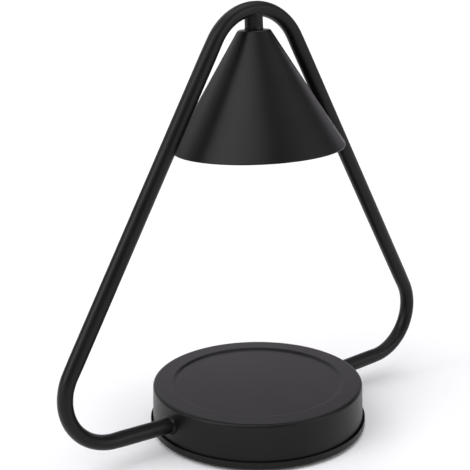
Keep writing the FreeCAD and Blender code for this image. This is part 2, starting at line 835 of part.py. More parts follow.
def holder_bracket():
    """The hat-shaped strip that carries the holder below the nut."""
    arm = bracket_arm_x()
    foot = arm + BRACKET_FOOT
    top = bracket_top()
    low = holder_top()
    half = BRACKET_W / 2
    points = [at(-foot, low), at(-arm + BRACKET_T, low), at(-arm + BRACKET_T, top - BRACKET_T),
              at(arm - BRACKET_T, top - BRACKET_T), at(arm - BRACKET_T, low), at(foot, low),
              at(foot, low + BRACKET_T), at(arm, low + BRACKET_T), at(arm, top), at(-arm, top),
              at(-arm, low + BRACKET_T), at(-foot, low + BRACKET_T)]
    bend_r = BRACKET_T / 2
    radii = [0, bend_r, 0, 0, bend_r, 0, 0, 0, bend_r, bend_r, 0, 0]
    strip = Part.Face(Part.Wire(rounded_edges(points, radii, closed=True)))
    strip.translate(Vector(0, -half, 0))
    bracket = strip.extrude(Vector(0, BRACKET_W, 0))
    bracket = bracket.cut(Part.makeCylinder(NIPPLE_D / 2 + BORE_FIT, BRACKET_T, at(0, top - BRACKET_T)))
    for side in (-1, 1):
        bracket = bracket.cut(Part.makeCylinder(SCREW_D / 2 + THREAD_FIT, BRACKET_T,
                                                at(side * holder_screw_x(), low)))
    return bracket


def holder_screws():
    """The screws from the holder's face up into the bracket's feet."""
    length = HOLDER_H - HOLDER_SCREW_RECESS + BRACKET_T + SCREW_PAST_NUT
    seat = holder_face() + HOLDER_SCREW_RECESS
    return group(along(pan_screw(length), at(side * holder_screw_x(), seat), UP)
                 for side in (-1, 1))


def twist_slot(radius, low, high):
    """The space that a pin of one radius sweeps from its locked to its unlocked place."""
    height = high - low
    locked = Vector(0, PIN_CIRCLE_R, low)
    back = FreeCAD.Rotation(UP, -BULB_TWIST)
    sweep = Part.makeCylinder(PIN_CIRCLE_R + radius, height, at(0, low), UP, BULB_TWIST)
    sweep = sweep.cut(Part.makeCylinder(PIN_CIRCLE_R - radius, height, at(0, low)))
    sweep.rotate(Vector(), UP, 90 - BULB_TWIST)
    ends = [Part.makeCylinder(radius, height, place) for place in (locked, back.multVec(locked))]
    return sweep.multiFuse(ends)


def entry_hole(low, high):
    """The hole that lets a pin's head in at the unlocked place."""
    place = FreeCAD.Rotation(UP, -BULB_TWIST).multVec(Vector(0, PIN_CIRCLE_R, low))
    return Part.makeCylinder(PIN_HEAD_D / 2 + TURN_FIT, high - low, place)


def contact_pocket():
    """The space above one pin head that holds its contact."""
    half = CONTACT_W / 2 + BORE_FIT
    near = LEAD_SPACING / 2 - LEAD_D / 2 - BORE_FIT
    far = PIN_CIRCLE_R + CONTACT_REACH + BORE_FIT
    return box_between(Vector(-half, near, contact_foot_z() - CONTACT_FIT),
                       Vector(half, far, contact_foot_z() + CONTACT_H))


def lamp_holder_body():
    """The ceramic holder with its two curved pin slots, contact pockets and screw holes."""
    low = holder_face()
    ledge = ledge_z()
    top = holder_top()
    body = turned([at(0, low), at(HOLDER_R, low), at(HOLDER_R, top), at(0, top)],
                  [0, HOLDER_EDGE_R, HOLDER_EDGE_R, 0])
    pole = twist_slot(PIN_SHANK_D / 2 + BORE_FIT, low, ledge)
    pole = pole.multiFuse([
        entry_hole(low, ledge),
        twist_slot(PIN_HEAD_D / 2 + TURN_FIT, ledge, contact_foot_z()),
        contact_pocket(),
        Part.makeCylinder(HOLDER_LEAD_BORE / 2, top - contact_foot_z(),
                          Vector(0, LEAD_SPACING / 2, contact_foot_z())),
    ])
    for turn in (0, 180):
        cut = pole.copy()
        cut.rotate(Vector(), UP, turn)
        body = body.cut(cut)
    for side in (-1, 1):
        x = side * holder_screw_x()
        body = body.cut(Part.makeCylinder(SCREW_D / 2 + HOLE_FIT, HOLDER_H, at(x, low)))
        body = body.cut(Part.makeCylinder(SCREW_HEAD_D / 2 + HOLE_FIT, HOLDER_SCREW_RECESS,
                                          at(x, low)))
    return body


def holder_contacts():
    """The two spring strips, each from a lead's end round to the top of a pin's head."""
    low = contact_foot_z()
    roof = low + CONTACT_H
    near = LEAD_SPACING / 2 - LEAD_D / 2
    foot = PIN_CIRCLE_R - PIN_HEAD_D / 2
    far = PIN_CIRCLE_R + CONTACT_REACH
    outline = [(near, roof), (far, roof), (far, low), (foot, low), (foot, low + CONTACT_T),
               (far - CONTACT_T, low + CONTACT_T), (far - CONTACT_T, roof - CONTACT_T),
               (near, roof - CONTACT_T), (near, roof)]
    half = CONTACT_W / 2
    profile = Part.makePolygon([Vector(-half, y, z) for y, z in outline])
    strip = Part.Face(profile).extrude(Vector(CONTACT_W, 0, 0))
    other = strip.copy()
    other.rotate(Vector(), UP, 180)
    return group([strip, other])


# ---------------------------------------------------------------- bulb

def bulb_pins():
    """The two headed pins that hang the bulb in the holder."""
    head_r = PIN_HEAD_D / 2
    shank_r = PIN_SHANK_D / 2
    root = bulb_top() - PIN_ROOT
    seat = pin_head_z()
    top = seat + PIN_HEAD_H
    pin = turned([at(0, root), at(shank_r, root), at(shank_r, seat), at(head_r, seat),
                  at(head_r, top), at(0, top)], [0, 0, 0, 0, PIN_HEAD_R, 0])
    return group(along(pin, Vector(0, y, 0), UP) for y in (-PIN_CIRCLE_R, PIN_CIRCLE_R))


def bulb_base():
    """The ceramic base of the bulb, which holds the pins and the reflector's neck."""
    top = bulb_top()
    low = top - BULB_BASE_H
    socket_top = low + BULB_NECK_H
    socket_r = BULB_NECK_R + LEDGE_FIT
    base = turned([at(0, top), at(BULB_BASE_R, top), at(BULB_BASE_R, low), at(socket_r, low),
                   at(socket_r, socket_top), at(0, socket_top)],
                  [0, BULB_BASE_EDGE_R, 0, 0, 0, 0])
    for y in (-PIN_CIRCLE_R, PIN_CIRCLE_R):
        base = base.cut(Part.makeCylinder(PIN_SHANK_D / 2 + THREAD_FIT, PIN_ROOT,
                                          Vector(0, y, top - PIN_ROOT)))
    return base


def bulb_reflector():
    """The glass bell of the bulb, from its neck in the base to its rim."""
    low = bulb_top() - BULB_LENGTH
    neck_low = bulb_top() - BULB_BASE_H
    neck_top = neck_low + BULB_NECK_H - LEDGE_FIT
    mid_r = (BULB_NECK_R + BULB_R) / 2
    return sheet_turned(
        [at(BULB_NECK_R, neck_top), at(BULB_NECK_R, neck_low - LEDGE_FIT),
         at(mid_r, neck_low - BULB_SHOULDER), at(BULB_R, low + BULB_RIM_H), at(BULB_R, low)],
        [0, 0, BULB_SHOULDER_R, BULB_BELL_R, 0], BULB_GLASS_T)


def bulb_lens():
    """The cover glass in the reflector's rim."""
    radius = BULB_R - BULB_GLASS_T - LEDGE_FIT
    low = bulb_top() - BULB_LENGTH + LENS_SINK
    return turned([at(0, low), at(radius, low), at(radius, low + LENS_T), at(0, low + LENS_T)],
                  [0, LENS_EDGE_R, 0, 0])


def pinch_top():
    """The height of the top of the capsule's flat pinch, against the bulb's base."""
    return bulb_top() - BULB_BASE_H + BULB_NECK_H - LEDGE_FIT


def capsule_top():
    """The height where the capsule's round part meets its pinch."""
    return bulb_top() - BULB_BASE_H


def bulb_capsule():
    """The quartz capsule: a closed tube with a round tip, hung from its flat pinch."""
    top = capsule_top()
    low = top - CAPSULE_H
    tip_r = CAPSULE_R - TINY
    shell = sheet_turned([at(0, top), at(CAPSULE_R, top), at(CAPSULE_R, low), at(0, low)],
                         [0, CAPSULE_T * 2, tip_r, 0], CAPSULE_T)
    pinch = box_between(Vector(-PINCH_W / 2, -PINCH_T / 2, top - CAPSULE_T / 2),
                        Vector(PINCH_W / 2, PINCH_T / 2, pinch_top()))
    return shell.fuse(pinch).removeSplitter()


def bulb_filament():
    """The coiled filament on its two legs inside the capsule."""
    top = capsule_top() - CAPSULE_T
    level = top - FILAMENT_DROP
    half = FILAMENT_W / 2
    coil = Part.makeCylinder(FILAMENT_D / 2, FILAMENT_W, at(-half, level), Vector(1, 0, 0))
    legs = [Part.makeCylinder(FILAMENT_LEG_D / 2, FILAMENT_DROP, at(x, level))
            for x in (-half + FILAMENT_LEG_D / 2, half - FILAMENT_LEG_D / 2)]
    return coil.multiFuse(legs).removeSplitter()


NODES = (
    base_cap, base_tray, base_bridge, tray_screws, foot_pads, cord_bushing, bushing_nut,
    frame_tube, tube_collars, tube_washers, tube_locknuts, tube_end_bush, stem_boss,
    terminal_block, terminal_clamps, terminal_screws, block_screw, lamp_leads,
    stem_nipple, shade, shade_washer, shade_locknut,
    holder_bracket, holder_screws, lamp_holder_body, holder_contacts,
    bulb_pins, bulb_base, bulb_reflector, bulb_lens, bulb_capsule, bulb_filament,
)

os.makedirs("parts", exist_ok=True)
for make in NODES:
    shape = make()
    shape.exportStep("parts/" + make.__name__ + ".step")
    print(make.__name__, len(shape.Solids), "solids, valid:", shape.isValid(),
          "volume:", round(shape.Volume, 1))
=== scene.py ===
"""Looks of the candle warmer lamp: its dressed pieces, finishes, camera and light.

Sizes are in millimetres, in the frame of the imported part, and meshes are scaled to metres once.
"""

import logging
import math
from dataclasses import dataclass, field
from enum import Enum
from typing import Callable, Sequence

import bmesh
import bpy
from mathutils import Matrix, Vector


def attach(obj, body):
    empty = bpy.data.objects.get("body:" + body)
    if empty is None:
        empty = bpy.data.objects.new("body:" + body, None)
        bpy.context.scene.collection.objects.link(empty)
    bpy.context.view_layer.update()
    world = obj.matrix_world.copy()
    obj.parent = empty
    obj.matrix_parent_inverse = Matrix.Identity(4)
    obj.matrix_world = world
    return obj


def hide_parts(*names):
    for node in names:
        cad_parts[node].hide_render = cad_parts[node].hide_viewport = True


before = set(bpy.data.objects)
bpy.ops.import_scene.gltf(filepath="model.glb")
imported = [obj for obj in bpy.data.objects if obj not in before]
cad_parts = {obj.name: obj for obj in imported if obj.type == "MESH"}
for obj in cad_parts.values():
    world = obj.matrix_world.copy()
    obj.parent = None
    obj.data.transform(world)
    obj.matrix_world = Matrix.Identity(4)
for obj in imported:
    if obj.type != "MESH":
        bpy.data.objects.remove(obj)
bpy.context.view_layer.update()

LOG = logging.getLogger("candle_lamp")
MM = 0.001
TINY = 1e-6
UP = Vector((0.0, 0.0, 1.0))

# The height where the shade's flat top hangs from the foot of its boss.
BOSS_FOOT_Z = 258.1

Rgb = tuple[float, float, float]
Span = tuple[float, float]

# The middle part of a random pattern's range, as it is spread over colours and over numbers.
COLOUR_BAND: Span = (0.35, 0.65)
MIDDLE_BAND: Span = (0.32, 0.68)


class Body(Enum):
    """The bodies that pieces ride on."""

    STAND = "root"
    BULB = "bulb"


class Slot(Enum):
    """The record's material slots."""

    BLACK_COAT = "black_coat"
    FOOT_RUBBER = "foot_rubber"
    BLACK_NYLON = "black_nylon"
    REFLECTOR_GLASS = "reflector_glass"
    CLEAR_GLASS = "clear_glass"
    TUNGSTEN = "tungsten"


# ---------------------------------------------------------------- finishes


class Detail(Enum):
    """How many layers of finer texture lie on a random pattern."""

    PLAIN = 1.0
    SOFT = 2.0
    FINE = 3.0
    RICH = 4.0
    BUSY = 5.0


class ShaderPen:
    """Draws one node material, from the object's own coordinates."""

    def __init__(self, name: str) -> None:
        """Start a material with a surface shader.

        Args:
            name: The material's name.
        """
        self.material = bpy.data.materials.new(name)
        self.material.use_nodes = True
        self.tree = self.material.node_tree
        self.surface = self.tree.nodes["Principled BSDF"]
        self.place = self.tree.nodes.new("ShaderNodeTexCoord").outputs["Object"]

    def put(self, node: bpy.types.Node, socket: str, value: object) -> None:
        """Set one input of a node, with a link where the value is another node's output.

        Args:
            node: The node to set.
            socket: The name of the input.
            value: A plain value, or the output to link.
        """
        if isinstance(value, bpy.types.NodeSocket):
            self.tree.links.new(value, node.inputs[socket])
        else:
            node.inputs[socket].default_value = value

    def set(self, **values: object) -> None:
        """Set inputs of the surface shader, an underscore in a name standing for a space."""
        for key, value in values.items():
            self.put(self.surface, key.replace("_", " "), value)

    def noise(self, per_m: float, detail: Detail = Detail.SOFT,
              stretch: Sequence[float] = (1.0, 1.0, 1.0), swirl: float = 0.0) -> bpy.types.NodeSocket:
        """A soft random pattern.

        Args:
            per_m: How many features there are in a metre.
            detail: How much finer texture lies on the features.
            stretch: How many times denser the features are on each axis.
            swirl: How much the pattern is pushed out of line.

        Returns:
            The pattern's value, from 0 to 1.
        """
        mapping = self.tree.nodes.new("ShaderNodeMapping")
        self.put(mapping, "Vector", self.place)
        self.put(mapping, "Scale", tuple(stretch))
        node = self.tree.nodes.new("ShaderNodeTexNoise")
        self.put(node, "Vector", mapping.outputs["Vector"])
        self.put(node, "Scale", per_m)
        self.put(node, "Detail", detail.value)
        self.put(node, "Distortion", swirl)
        return node.outputs["Fac"]

    def between(self, value: bpy.types.NodeSocket, low: float, high: float,
                band: Span = MIDDLE_BAND) -> bpy.types.NodeSocket:
        """A pattern's middle band spread between two numbers.

        Args:
            value: The pattern.
            low: What the band's low end becomes.
            high: What the band's high end becomes.
            band: The part of the pattern's range that is used.

        Returns:
            The number at each point.
        """
        node = self.tree.nodes.new("ShaderNodeMapRange")
        self.put(node, "Value", value)
        self.put(node, "From Min", band[0])
        self.put(node, "From Max", band[1])
        self.put(node, "To Min", low)
        self.put(node, "To Max", high)
        return node.outputs["Result"]

    def tones(self, value: bpy.types.NodeSocket, *stops: tuple[float, Rgb]) -> bpy.types.NodeSocket:
        """A pattern turned into colours.

        Args:
            value: The pattern.
            stops: Positions in the pattern's range, each with its colour.

        Returns:
            The colour at each point.
        """
        node = self.tree.nodes.new("ShaderNodeValToRGB")
        self.put(node, "Fac", value)
        ramp = node.color_ramp.elements
        while len(ramp) < len(stops):
            ramp.new(0.5)
        for element, (position, colour) in zip(ramp, stops):
            element.position = position
            element.color = (*colour, 1.0)
        return node.outputs["Color"]

    def shades(self, value: bpy.types.NodeSocket, low: Rgb, high: Rgb,
               band: Span = COLOUR_BAND) -> bpy.types.NodeSocket:
        """A pattern turned into the shades between two colours."""
        return self.tones(value, (band[0], low), (band[1], high))

    def bump(self, *layers: tuple[bpy.types.NodeSocket, float]) -> None:
        """Roughen the surface.

        Args:
            layers: Patterns, each with its depth in millimetres.
        """
        normal = None
        for height, depth_mm in layers:
            node = self.tree.nodes.new("ShaderNodeBump")
            self.put(node, "Height", height)
            self.put(node, "Distance", depth_mm * MM)
            if normal is not None:
                self.put(node, "Normal", normal)
            normal = node.outputs["Normal"]
        self.set(Normal=normal)


@dataclass(frozen=True)
class Finish:
    """What every finish has: a name and a way to make its material once.

    A roughness is the range that the finish spreads over, from its smoothest to its dullest spots.
    """

    name: str

    def paint(self, pen: ShaderPen) -> None:
        """Draw the finish's nodes; each finish has its own."""
        raise NotImplementedError

    def material(self) -> bpy.types.Material:
        """The finish's material, made the first time that it is asked for.

        Returns:
            The material, shared by all the pieces with this finish.
        """
        made = bpy.data.materials.get(self.name)
        if made is None:
            pen = ShaderPen(self.name)
            self.paint(pen)
            made = pen.material
        return made


@dataclass(frozen=True)
class PowderCoat(Finish):
    """Satin black powder coat with a shallow orange peel."""

    name: str = "satin_powder_coat"
    deep: Rgb = (0.0046, 0.0046, 0.0047)
    pale: Rgb = (0.0070, 0.0070, 0.0071)
    cloud_per_m: float = 26.0
    roughness: Span = (0.31, 0.39)
    index: float = 1.28
    peel_per_m: float = 620.0
    peel_mm: float = 0.011
    grain_per_m: float = 3200.0
    grain_mm: float = 0.0025

    def paint(self, pen: ShaderPen) -> None:
        """Draw cloudy black, uneven gloss, peel and grain.

        Args:
            pen: Draws the material's nodes.
        """
        cloud = pen.noise(self.cloud_per_m, Detail.FINE)
        grain = pen.noise(self.grain_per_m, Detail.FINE)
        peel = pen.noise(self.peel_per_m, Detail.PLAIN)
        pen.set(Base_Color=pen.shades(cloud, self.deep, self.pale),
                Roughness=pen.between(grain, *self.roughness), IOR=self.index)
        pen.bump((peel, self.peel_mm), (grain, self.grain_mm))


@dataclass(frozen=True)
class PlatedMetal(Finish):
    """Plated or bare metal with fine drawn lines and faint stains."""

    dull: Rgb = (0.50, 0.51, 0.53)
    bright: Rgb = (0.68, 0.69, 0.71)
    stain_per_m: float = 160.0
    stain_swirl: float = 0.6
    stain_band: Span = (0.30, 0.70)
    roughness: Span = (0.24, 0.40)
    line_per_m: float = 900.0
    line_stretch: Sequence[float] = (1.0, 1.0, 14.0)
    line_mm: float = 0.003

    def paint(self, pen: ShaderPen) -> None:
        """Draw stains in the colour and lines in the gloss and the surface.

        Args:
            pen: Draws the material's nodes.
        """
        stain = pen.noise(self.stain_per_m, Detail.RICH, swirl=self.stain_swirl)
        lines = pen.noise(self.line_per_m, Detail.FINE, self.line_stretch)
        pen.set(Base_Color=pen.shades(stain, self.dull, self.bright, self.stain_band),
                Metallic=1.0, Roughness=pen.between(lines, *self.roughness))
        pen.bump((lines, self.line_mm))


@dataclass(frozen=True)
class MouldedPlastic(Finish):
    """Moulded or extruded plastic with a spark-eroded grain."""

    shade: Rgb = (0.016, 0.016, 0.017)
    light: Rgb = (0.024, 0.024, 0.025)
    mottle_per_m: float = 210.0
    roughness: Span = (0.42, 0.56)
    index: float = 1.52
    grain_per_m: float = 2400.0
    grain_mm: float = 0.006
    glow: float = 0.0
    glow_mm: float = 1.0

    def paint(self, pen: ShaderPen) -> None:
        """Draw a mottled colour, a grained surface and a little depth in pale plastic.

        Args:
            pen: Draws the material's nodes.
        """
        mottle = pen.noise(self.mottle_per_m, Detail.FINE)
        grain = pen.noise(self.grain_per_m)
        pen.set(Base_Color=pen.shades(mottle, self.shade, self.light),
                Roughness=pen.between(grain, *self.roughness), IOR=self.index,
                Subsurface_Weight=self.glow, Subsurface_Scale=self.glow_mm * MM)
        pen.bump((grain, self.grain_mm))


@dataclass(frozen=True)
class FootRubber(Finish):
    """Matte rubber with dust in its grain."""

    name: str = "foot_rubber_grain"
    dark: Rgb = (0.011, 0.011, 0.011)
    dusty: Rgb = (0.030, 0.029, 0.028)
    dust_per_m: float = 420.0
    dust_swirl: float = 0.8
    dust_band: Span = (0.42, 0.74)
    dust_mm: float = 0.010
    roughness: Span = (0.72, 0.88)
    grain_per_m: float = 1900.0
    grain_mm: float = 0.012

    def paint(self, pen: ShaderPen) -> None:
        """Draw dusty patches and a coarse matte grain.

        Args:
            pen: Draws the material's nodes.
        """
        dust = pen.noise(self.dust_per_m, Detail.BUSY, swirl=self.dust_swirl)
        grain = pen.noise(self.grain_per_m, Detail.FINE)
        pen.set(Base_Color=pen.shades(dust, self.dark, self.dusty, self.dust_band),
                Roughness=pen.between(grain, *self.roughness))
        pen.bump((dust, self.dust_mm), (grain, self.grain_mm))


@dataclass(frozen=True)
class Ceramic(Finish):
    """Unglazed pressed ceramic with pores and iron specks."""

    name: str = "pressed_ceramic"
    speck: Rgb = (0.34, 0.28, 0.20)
    speck_until: float = 0.24
    body: Rgb = (0.74, 0.71, 0.64)
    body_from: float = 0.31
    pale: Rgb = (0.82, 0.80, 0.74)
    pale_from: float = 0.66
    cloud_per_m: float = 340.0
    cloud_mm: float = 0.010
    roughness: Span = (0.55, 0.72)
    index: float = 1.55
    pore_per_m: float = 2100.0
    pore_mm: float = 0.014

    def paint(self, pen: ShaderPen) -> None:
        """Draw specks on a cloudy body, and a pitted surface.

        Args:
            pen: Draws the material's nodes.
        """
        cloud = pen.noise(self.cloud_per_m, Detail.BUSY)
        pores = pen.noise(self.pore_per_m, Detail.FINE)
        pen.set(Base_Color=pen.tones(cloud, (self.speck_until, self.speck), (self.body_from, self.body),
                                     (self.pale_from, self.pale)),
                Roughness=pen.between(pores, *self.roughness), IOR=self.index)
        pen.bump((pores, self.pore_mm), (cloud, self.cloud_mm))


@dataclass(frozen=True)
class MirrorGlass(Finish):
    """Glass bell with a bright metal film, faintly uneven."""

    name: str = "mirrored_glass"
    film: Rgb = (0.78, 0.79, 0.82)
    thin_film: Rgb = (0.88, 0.86, 0.84)
    cloud_per_m: float = 120.0
    cloud_swirl: float = 0.4
    roughness: Span = (0.07, 0.17)
    ripple_per_m: float = 520.0
    ripple_mm: float = 0.006

    def paint(self, pen: ShaderPen) -> None:
        """Draw a film that thins in clouds over a slightly rippled glass.

        Args:
            pen: Draws the material's nodes.
        """
        cloud = pen.noise(self.cloud_per_m, Detail.FINE, swirl=self.cloud_swirl)
        ripple = pen.noise(self.ripple_per_m, Detail.PLAIN)
        pen.set(Base_Color=pen.shades(cloud, self.film, self.thin_film),
                Metallic=1.0, Roughness=pen.between(cloud, *self.roughness))
        pen.bump((ripple, self.ripple_mm))


@dataclass(frozen=True)
class ClearGlass(Finish):
    """Clear lamp glass with a faint haze."""

    name: str = "clear_lamp_glass"
    tint: Rgb = (0.97, 0.98, 0.98)
    clear: Rgb = (1.0, 1.0, 1.0)
    haze_per_m: float = 190.0
    haze_band: Span = (0.4, 0.7)
    roughness: Span = (0.015, 0.07)
    index: float = 1.47
    ripple_per_m: float = 420.0
    ripple_mm: float = 0.004

    def paint(self, pen: ShaderPen) -> None:
        """Draw haze in the gloss and drawn-glass ripple in the surface.

        Args:
            pen: Draws the material's nodes.
        """
        haze = pen.noise(self.haze_per_m, Detail.RICH)
        ripple = pen.noise(self.ripple_per_m, Detail.PLAIN)
        pen.set(Base_Color=pen.shades(haze, self.tint, self.clear, self.haze_band),
                Roughness=pen.between(haze, *self.roughness), IOR=self.index,
                Transmission_Weight=1.0)
        pen.bump((ripple, self.ripple_mm))


@dataclass(frozen=True)
class StudioPaper(Finish):
    """Pale paper under the lamp."""

    name: str = "studio_paper"
    shade: Rgb = (0.935, 0.925, 0.95)
    light: Rgb = (0.97, 0.96, 0.985)
    cloud_per_m: float = 3.0
    cloud_band: Span = (0.3, 0.7)
    roughness: Span = (0.86, 0.94)
    shine: float = 0.15
    tooth_per_m: float = 700.0
    tooth_mm: float = 0.01

    def paint(self, pen: ShaderPen) -> None:
        """Draw the paper's faint clouds and tooth.

        Args:
            pen: Draws the material's nodes.
        """
        cloud = pen.noise(self.cloud_per_m)
        tooth = pen.noise(self.tooth_per_m)
        pen.set(Base_Color=pen.shades(cloud, self.shade, self.light, self.cloud_band),
                Roughness=pen.between(tooth, *self.roughness), Specular_IOR_Level=self.shine)
        pen.bump((tooth, self.tooth_mm))


BLACK_COAT = PowderCoat()
ZINC = PlatedMetal("zinc_plate")
NICKEL = PlatedMetal("nickel_plate", dull=(0.60, 0.58, 0.54), bright=(0.72, 0.70, 0.66),
                     roughness=(0.12, 0.22))
BRASS = PlatedMetal("drawn_brass", dull=(0.62, 0.43, 0.16), bright=(0.80, 0.60, 0.28),
                    roughness=(0.20, 0.34))
TUNGSTEN = PlatedMetal("tungsten_wire", dull=(0.26, 0.26, 0.28), bright=(0.40, 0.40, 0.42),
                       roughness=(0.30, 0.46))
BLACK_NYLON = MouldedPlastic("black_nylon_grain")
WHITE_NYLON = MouldedPlastic("white_nylon_grain", shade=(0.70, 0.70, 0.66),
                             light=(0.80, 0.80, 0.77), glow=0.2)
SILICONE = MouldedPlastic("silicone_sleeve", shade=(0.66, 0.66, 0.63), light=(0.76, 0.76, 0.74),
                          roughness=(0.34, 0.46), grain_per_m=900.0, grain_mm=0.004, glow=0.3)
RUBBER = FootRubber()
CERAMIC = Ceramic()
MIRROR = MirrorGlass()
GLASS = ClearGlass()
PAPER = StudioPaper()


# ---------------------------------------------------------------- mesh helpers


@dataclass(frozen=True)
class Corner:
    """One corner of an outline: radius from the axis, height, and how much it is rounded."""

    r: float
    z: float
    round: float = 0.0

    def at(self) -> Vector:
        """The corner's place in the outline's plane."""
        return Vector((self.r, self.z))


def rounded(corners: Sequence[Corner], closed: bool = True, step_deg: float = 10.0,
            hold: float = 0.15) -> list[Vector]:
    """An outline with its corners rounded, and a held edge beside each rounding.

    Args:
        corners: The outline's corners in order.
        closed: Whether the last corner joins the first.
        step_deg: The most that the outline turns between two points of a rounding.
        hold: How far from a rounding the straight run gets an extra point.

    Returns:
        The outline's points.
    """
    points: list[Vector] = []
    count = len(corners)
    for index, corner in enumerate(corners):
        here = corner.at()
        if corner.round <= 0 or (not closed and index in (0, count - 1)):
            points.append(here)
            continue
        arrive = (here - corners[index - 1].at()).normalized()
        leave = (corners[(index + 1) % count].at() - here).normalized()
        turn = arrive.angle(leave)
        inward = (leave - arrive).normalized()
        setback = corner.round * math.tan(turn / 2)
        centre = here + inward * (corner.round / math.cos(turn / 2))
        first = here - arrive * setback
        spoke = first - centre
        side = math.copysign(1.0, arrive.x * leave.y - arrive.y * leave.x)
        steps = max(2, math.ceil(math.degrees(turn) / step_deg))
        points.append(first - arrive * hold)
        for step in range(steps + 1):
            spin = Matrix.Rotation(side * turn * step / steps, 2)
            points.append(centre + spin @ spoke)
        points.append(here + leave * (setback + hold))
    return points


def sheet(corners: Sequence[Corner], thickness: float) -> list[Corner]:
    """A closed outline of even thickness, to the right of a line of corners.

    Args:
        corners: The corners of the face on the left.
        thickness: The sheet's thickness.

    Returns:
        The corners of both faces, in one closed outline.
    """
    rights = []
    for first, second in zip(corners, corners[1:]):
        run = (second.at() - first.at()).normalized()
        rights.append(Vector((run.y, -run.x)))
    inner: list[Corner] = []
    for index, corner in enumerate(corners):
        before = rights[max(index - 1, 0)]
        after = rights[min(index, len(rights) - 1)]
        mitre = (before + after).normalized()
        place = corner.at() + mitre * (thickness / mitre.dot(before))
        radius = 0.0
        if corner.round > 0:
            turns_right = before.x * after.y - before.y * after.x < 0
            radius = corner.round + (-thickness if turns_right else thickness)
        inner.append(Corner(place.x, place.y, radius))
    return list(corners) + inner[::-1]


def turned(outline: Sequence[Vector], segments: int,
           dent: Callable[[Vector, float], float] | None = None) -> bmesh.types.BMesh:
    """A body turned about Z from a closed outline.

    Args:
        outline: Points of radius and height.
        segments: How many steps there are in a full turn.
        dent: Gives what is added to a point's radius at an angle.

    Returns:
        The mesh, in millimetres.
    """
    bm = bmesh.new()
    rings: list[list[bmesh.types.BMVert]] = []
    for point in outline:
        if abs(point.x) < TINY:
            rings.append([bm.verts.new((0.0, 0.0, point.y))])
            continue
        ring = []
        for step in range(segments):
            angle = 2 * math.pi * step / segments
            radius = point.x + (dent(point, angle) if dent else 0.0)
            ring.append(bm.verts.new((radius * math.cos(angle), radius * math.sin(angle), point.y)))
        rings.append(ring)
    for ring, following in zip(rings, rings[1:] + rings[:1]):
        if len(ring) == 1 and len(following) == 1:
            continue
        for step in range(segments):
            after = (step + 1) % segments
            corners = [ring[step % len(ring)], ring[after % len(ring)],
                       following[after % len(following)], following[step % len(following)]]
            unique = list(dict.fromkeys(corners))
            if len(unique) > 2:
                bm.faces.new(unique)
    return bm


def band(bm: bmesh.types.BMesh, ring: Sequence[bmesh.types.BMVert],
         following: Sequence[bmesh.types.BMVert]) -> None:
    """Fill the band between two rings of points with faces.

    Args:
        bm: The mesh that holds the points.
        ring: The points of one ring.
        following: The points of the other, as many.
    """
    for step in range(len(ring)):
        after = (step + 1) % len(ring)
        bm.faces.new((ring[step], ring[after], following[after], following[step]))


def swept(path: Sequence[Vector], radius: float, sides: int, closed: bool) -> bmesh.types.BMesh:
    """A round bar along a line of points.

    Args:
        path: The bar's middle line.
        radius: The bar's radius.
        sides: How many sides its section has.
        closed: Whether the bar joins itself.

    Returns:
        The mesh, in millimetres.
    """
    bm = bmesh.new()
    count = len(path)
    side = Vector((0.0, 1.0, 0.0))
    rings = []
    for index, point in enumerate(path):
        before = path[index - 1] if closed or index else point
        after = path[(index + 1) % count] if closed or index + 1 < count else point
        way = (after - before).normalized()
        side = (side - way * side.dot(way)).normalized()
        lift = way.cross(side)
        ring = []
        for step in range(sides):
            angle = 2 * math.pi * step / sides
            ring.append(bm.verts.new(point + (side * math.cos(angle) + lift * math.sin(angle)) * radius))
        rings.append(ring)
    for ring, following in zip(rings, rings[1:]):
        band(bm, ring, following)
    if closed:
        band(bm, rings[-1], rings[0])
    else:
        bm.faces.new(rings[0])
        bm.faces.new(rings[-1])
    return bm


def aim(origin: Vector, way: Vector) -> Matrix:
    """The placement that takes the origin to a point and +Z to a direction."""
    return Matrix.Translation(origin) @ UP.rotation_difference(way).to_matrix().to_4x4()


def merged(meshes: Sequence[bmesh.types.BMesh]) -> bmesh.types.BMesh:
    """Several meshes in one.

    Args:
        meshes: The meshes, which are used up.

    Returns:
        The one mesh.
    """
    whole = bmesh.new()
    for part in meshes:
        carrier = bpy.data.meshes.new("carrier")
        part.to_mesh(carrier)
        part.free()
        whole.from_mesh(carrier)
        bpy.data.meshes.remove(carrier)
    return whole


def smooth(mesh: bpy.types.Mesh, sharp_deg: float = 35.0) -> None:
    """Shade a mesh smooth, with a hard line at each sharp edge."""
    mesh.shade_smooth()
    mesh.set_sharp_from_angle(angle=math.radians(sharp_deg))


def new_object(name: str, bm: bmesh.types.BMesh) -> bpy.types.Object:
    """An object in metres from a mesh in millimetres.

    Args:
        name: The object's name.
        bm: The mesh, which is used up.

    Returns:
        The object, linked into the scene.
    """
    bmesh.ops.scale(bm, vec=(MM, MM, MM), verts=bm.verts)
    bmesh.ops.recalc_face_normals(bm, faces=bm.faces)
    mesh = bpy.data.meshes.new(name)
    bm.to_mesh(mesh)
    bm.free()
    smooth(mesh)
    made = bpy.data.objects.new(name, mesh)
    bpy.context.scene.collection.objects.link(made)
    return made


def carve(piece: bpy.types.Object, cutters: Sequence[bmesh.types.BMesh]) -> None:
    """Cut shapes out of a piece.

    Args:
        piece: The object that loses material.
        cutters: The shapes to take away, in millimetres.
    """
    for shape in cutters:
        cutter = new_object("cutter", shape)
        modifier = piece.modifiers.new("carve", "BOOLEAN")
        modifier.operation = "DIFFERENCE"
        modifier.solver = "EXACT"
        modifier.object = cutter
        graph = bpy.context.evaluated_depsgraph_get()
        result = bpy.data.meshes.new_from_object(piece.evaluated_get(graph))
        piece.modifiers.clear()
        piece.data = result
        bpy.data.objects.remove(cutter)
    piece.data.name = piece.name
    smooth(piece.data)


